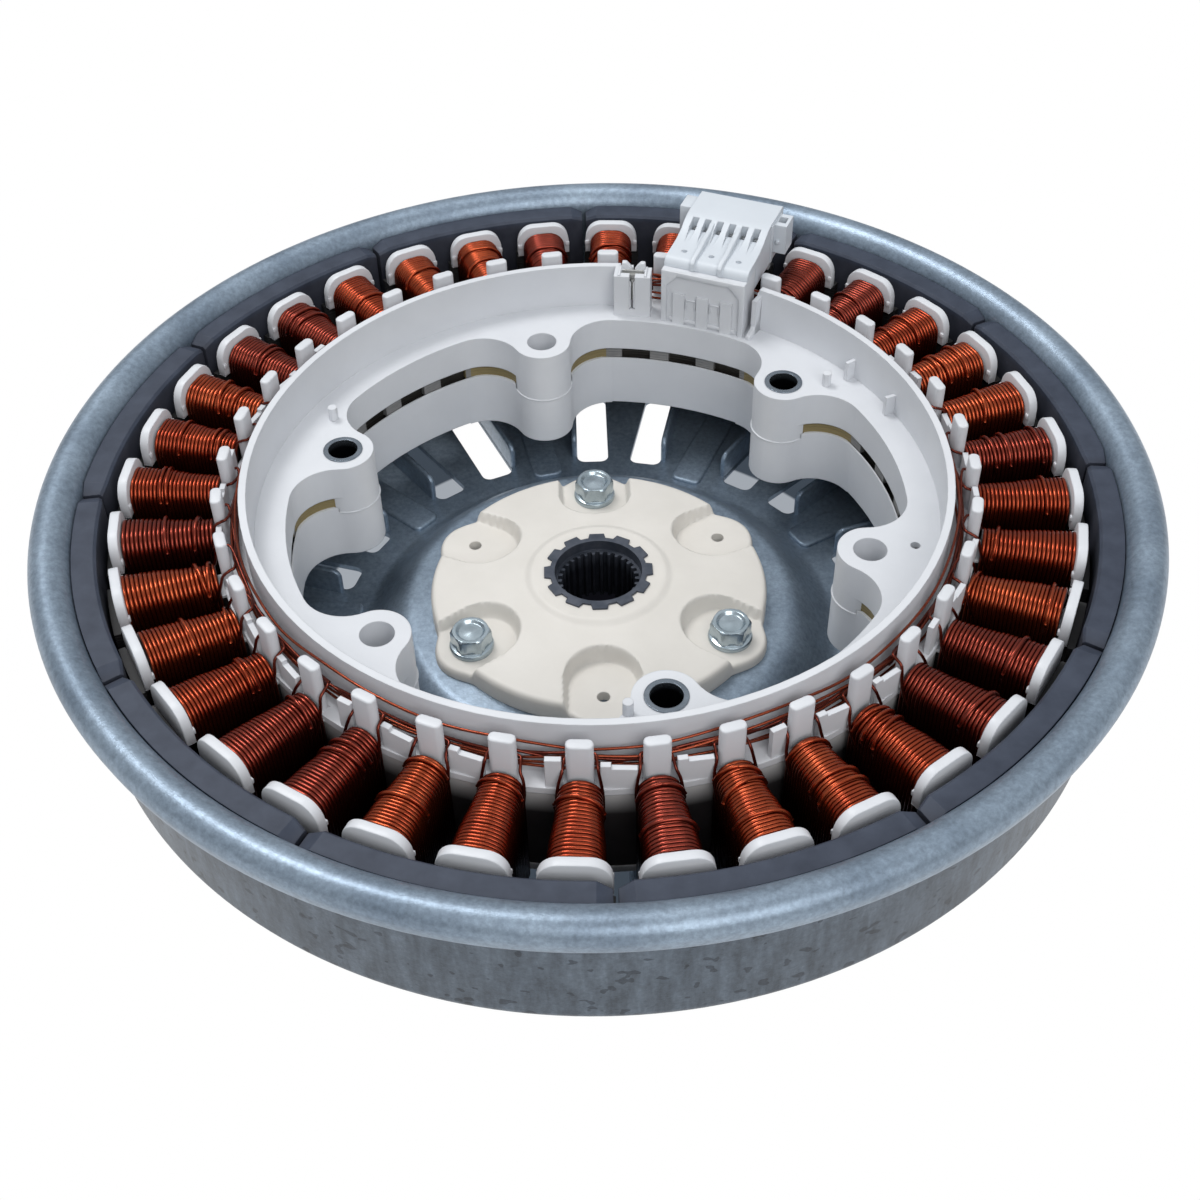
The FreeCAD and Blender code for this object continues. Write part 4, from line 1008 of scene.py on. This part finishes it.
def make_connector():
    """The white connector: windows with tapered channels, ribs, dimples and ears."""
    places = [(index - 2.5) * 3.95 for index in range(6)]
    windows = [box((x - 1.0, -106.8, 72.0), (x + 1.0, -103.6, 80)) for x in places]
    channel = hexahedron((0.3, 95.5, 73.0, 79), (1.15, 103.9, 73.6, 80))
    channels = [across(channel, x) for x in places]
    dimples = [prism(oval((x, -92.6), 0.9, 0.7, 12), 72.0, 75) for x in (-8.6, 0.0, 8.6)]
    slot = box((-16.3, -117.4, 68.0), (-13.9, -114.2, 80))
    block = moved(prism(housing_profile(), -13.2, 13.2), SIDE_ON)
    mesh = cut("block", block, joined(windows))
    for name, cutters in (("channels", channels), ("dimples", dimples)):
        mesh = cut_mesh(name, mesh, joined(cutters))
    placed = Matrix.Rotation(math.radians(CONNECTOR_TURN), 4, "Z")
    mesh.transform(placed)
    piece = finish_piece("connector_body", mesh, "connector_plastic", "stator")
    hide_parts("connector_housing")

    extras = [box((-11.2, -94.9, 54.0), (11.2, -87.5, 70.5))]
    rib = [(86.8, 70.0), (86.8, 72.6), (88.2, 73.7), (94.0, 74.1), (97.5, 74.9)]
    rib += [(103.0, 75.3), (105.5, 76.3), (105.5, 73.0), (95.0, 72.0)]
    for x in (-4.3, 4.3):
        extras.append(moved(prism(rib, x - 0.75, x + 0.75), SIDE_ON))
    extras.append(box((13.1, -119.2, 65.8), (17.3, -112.2, 75.8)))
    extras.append(box((-15.4, -112.6, 69.2), (-14.2, -111.4, 70.4)))
    for x in (-13.35, 13.35):
        extras.append(box((x - 0.25, -111.6, 63.2), (x + 0.25, -109.8, 76.2)))
    mesh = bevelled("connector_details", joined(extras), 0.3)
    mesh.transform(placed)
    finish_piece("connector_details", mesh, "connector_plastic", "stator")
    ear = cut("connector_ear", box((-17.3, -119.2, 65.8), (-13.1, -112.2, 75.4)), slot)
    ear.transform(placed)
    finish_piece("connector_ear", ear, "connector_plastic", "stator")


def make_tower_details():
    """The frame with cut corners on the tower's face, its sill and latch windows, the
    web of the gusset, and the terminal's jaws with the sprung clip between them."""
    front, face = -85.8, -84.75
    left = [(-13.2, 51.2), (-11.5, 51.2), (-11.5, 64.8), (-8.2, 68.4), (-8.2, 70.0), (-13.2, 70.0)]
    right = [(-x, z) for x, z in reversed(left)]
    top = [(-8.3, 68.4), (8.3, 68.4), (8.3, 70.0), (-8.3, 70.0)]
    parts = [moved(prism(bar, -face, -front), FACING) for bar in (left, right, top)]
    parts.append(box((-10.6, front, 52.6), (10.6, face - 0.2, 53.6)))
    for x in (-3.8, 3.8):
        parts.append(box((x - 1.6, front, 57.4), (x - 1.2, face - 0.35, 60.4)))
        parts.append(box((x + 1.2, front, 57.4), (x + 1.6, face - 0.35, 60.4)))
        parts.append(box((x - 1.6, front, 60.4), (x + 1.6, face - 0.35, 60.9)))
    mesh = bevelled("tower_face", joined(parts), 0.2)
    mesh.transform(Matrix.Rotation(math.radians(CONNECTOR_TURN), 4, "Z"))
    finish_piece("tower_face", mesh, "white_plastic", "stator")

    web = [(93.6, 51.6), (93.6, 64.6), (92.4, 64.6), (91.6, 60.0), (90.4, 56.5)]
    web += [(88.4, 54.0), (85.6, 52.9), (85.6, 51.6)]
    gusset = turned(moved(prism(web, -0.8, 0.8), SIDE_ON), STATOR_TURN + 149.9)
    finish_piece("gusset_web", bevelled("gusset_web", gusset, 0.25), "white_plastic", "stator")
    jaws = []
    for side in (-1, 1):
        jaw = [(0.35, -4), (0.35, -0.4), (1.2, 0.9), (2.2, 2.0), (3.5, 2.0), (3.7, 0.4), (3.7, -4)]
        lip = [(0.35, -11), (0.35, -2.6), (0.8, -1.6), (1.0, -11)]
        for outline, near, far in ((jaw, 91.2, 93.0), (lip, 86.5, 88.0)):
            outline = [(side * x, RING_TOP + rise) for x, rise in outline][::side]
            jaws.append(moved(prism(outline, near, far), FACING))
        low, high = (side * 4.0 - 0.4, -92.4, RING_TOP - 1), (side * 4.0 + 0.4, -86.9, RING_TOP + 0.5)
        jaws.append(box(low, high))
    mesh = bevelled("terminal_jaws", joined(jaws), 0.25)
    mesh.transform(Matrix.Rotation(math.radians(TERMINAL_TURN), 4, "Z"))
    finish_piece("terminal_jaws", mesh, "white_plastic", "stator")
    plates = [box((-3.3, -90.6, RING_TOP - 6), (3.3, -90.0, RING_TOP + 0.35))]
    plates.append(box((-0.4, -90.2, RING_TOP - 9), (0.4, -88.2, RING_TOP - 2.2)))
    mesh = bevelled("clip_spring", joined(plates), 0.12)
    mesh.transform(Matrix.Rotation(math.radians(TERMINAL_TURN), 4, "Z"))
    finish_piece("clip_spring", mesh, "tinned_metal", "stator")


make_cup()
make_magnets()
make_hub()
make_bolts()
for number in range(TEETH):
    make_coil(number)
make_wires()
make_slot_walls()
thinned_skirt()
trimmed_insulator()
make_caps()
make_connector()
make_tower_details()


# Floor, light and camera


def floor():
    """A pale floor. The camera sees it as plain white around the cup and through three
    of the louvres, and through the others and the bush as ground painted with shade,
    with painted light at the louvres' ends; it is not seen at all from below."""
    bpy.ops.mesh.primitive_plane_add(size=8)
    plane = bpy.context.object
    plane.name = "floor"
    material, tree, shader = new_material("floor")
    shader.inputs["Base Color"].default_value = (0.86, 0.86, 0.86, 1)
    shader.inputs["Roughness"].default_value = 0.9
    where = place(tree)
    out = distance_out(tree, where)
    # Painted shade: nearly black inside the bush and dark ground under the cup.
    past_bush = between(tree, out, 0.030, 0.032)
    ground = mixed(tree, past_bush, (0.004, 0.004, 0.006), (0.05, 0.065, 0.085))
    # Painted light: lighter patches at the louvres' ends.
    ends = multiply(tree, between(tree, out, 0.0765, 0.0770), between(tree, out, 0.0860, 0.0850))
    ground = mixed(tree, ends, ground, (0.36, 0.39, 0.43))
    split = tree.nodes.new("ShaderNodeSeparateXYZ")
    tree.links.new(where, split.inputs[0])
    ratio = tree.nodes.new("ShaderNodeMath")
    ratio.operation = "DIVIDE"
    tree.links.new(split.outputs[1], ratio.inputs[0])
    tree.links.new(out, ratio.inputs[1])
    behind = between(tree, ratio.outputs[0], 0.857, 0.858)
    beyond = between(tree, out, 0.040, 0.041)
    around = between(tree, out, 0.1124, 0.1125)
    seen_under = mixed(tree, multiply(tree, behind, beyond), ground, WHITE)
    glow = tree.nodes.new("ShaderNodeEmission")
    tree.links.new(mixed(tree, around, seen_under, WHITE), glow.inputs["Color"])
    path = tree.nodes.new("ShaderNodeLightPath")
    seen = path.outputs["Is Camera Ray"]
    for ray in ("Is Glossy Ray", "Is Transmission Ray"):
        either = tree.nodes.new("ShaderNodeMath")
        either.operation = "MAXIMUM"
        tree.links.new(seen, either.inputs[0])
        tree.links.new(path.outputs[ray], either.inputs[1])
        seen = either.outputs[0]
    mix = tree.nodes.new("ShaderNodeMixShader")
    tree.links.new(seen, mix.inputs[0])
    tree.links.new(shader.outputs[0], mix.inputs[1])
    tree.links.new(glow.outputs[0], mix.inputs[2])
    side = tree.nodes.new("ShaderNodeNewGeometry")
    clear = tree.nodes.new("ShaderNodeBsdfTransparent")
    from_below = tree.nodes.new("ShaderNodeMixShader")
    tree.links.new(side.outputs["Backfacing"], from_below.inputs[0])
    tree.links.new(mix.outputs[0], from_below.inputs[1])
    tree.links.new(clear.outputs[0], from_below.inputs[2])
    output = next(node for node in tree.nodes if node.type == "OUTPUT_MATERIAL")
    tree.links.new(from_below.outputs[0], output.inputs[0])
    plane.data.materials.append(material)
    plane.location.z = -0.0002


def lamp(name, place_at, size, power):
    """A square lamp that points at the motor."""
    data = bpy.data.lights.new(name, "AREA")
    data.size = size
    data.energy = power
    piece = bpy.data.objects.new(name, data)
    bpy.context.scene.collection.objects.link(piece)
    piece.location = place_at
    piece.rotation_euler = (-Vector(place_at)).to_track_quat("-Z", "Y").to_euler()


def world():
    """A studio that is brighter overhead than at the horizon."""
    scene = bpy.context.scene
    scene.world = bpy.data.worlds.new("studio")
    scene.world.use_nodes = True
    tree = scene.world.node_tree
    background = tree.nodes["Background"]
    background.inputs[0].default_value = (0.94, 0.97, 1.0, 1)
    coordinates = tree.nodes.new("ShaderNodeTexCoord")
    split = tree.nodes.new("ShaderNodeSeparateXYZ")
    tree.links.new(coordinates.outputs["Generated"], split.inputs[0])
    level = tree.nodes.new("ShaderNodeMapRange")
    level.inputs["From Min"].default_value = 0.0
    level.inputs["From Max"].default_value = 1.0
    level.inputs["To Min"].default_value = 0.25
    level.inputs["To Max"].default_value = 0.8
    tree.links.new(split.outputs[2], level.inputs["Value"])
    tree.links.new(level.outputs[0], background.inputs[1])


def camera():
    """The photograph's view: above the front, with a slight roll."""
    elevation = math.radians(44.3046)
    roll = math.radians(1.2071)
    flat = Vector((1, 0, 0))
    rise = Vector((0, math.sin(elevation), math.cos(elevation)))
    right = flat * math.cos(roll) - rise * math.sin(roll)
    upward = flat * math.sin(roll) + rise * math.cos(roll)
    back = right.cross(upward)
    turn = Matrix((right, upward, back)).transposed().to_4x4()
    data = bpy.data.cameras.new("camera")
    data.sensor_width = 36
    data.lens = 48.564
    data.clip_start = 0.01
    piece = bpy.data.objects.new("camera", data)
    piece.matrix_world = Matrix.Translation((0.000283, -0.33433, 0.33926)) @ turn
    bpy.context.scene.collection.objects.link(piece)
    bpy.context.scene.camera = piece


floor()
world()
lamp("key", (-0.45, 0.45, 1.35), 0.5, 9)
lamp("fill", (0.35, -1.1, 0.95), 0.9, 8)
camera()
bpy.context.scene.view_settings.view_transform = "Standard"
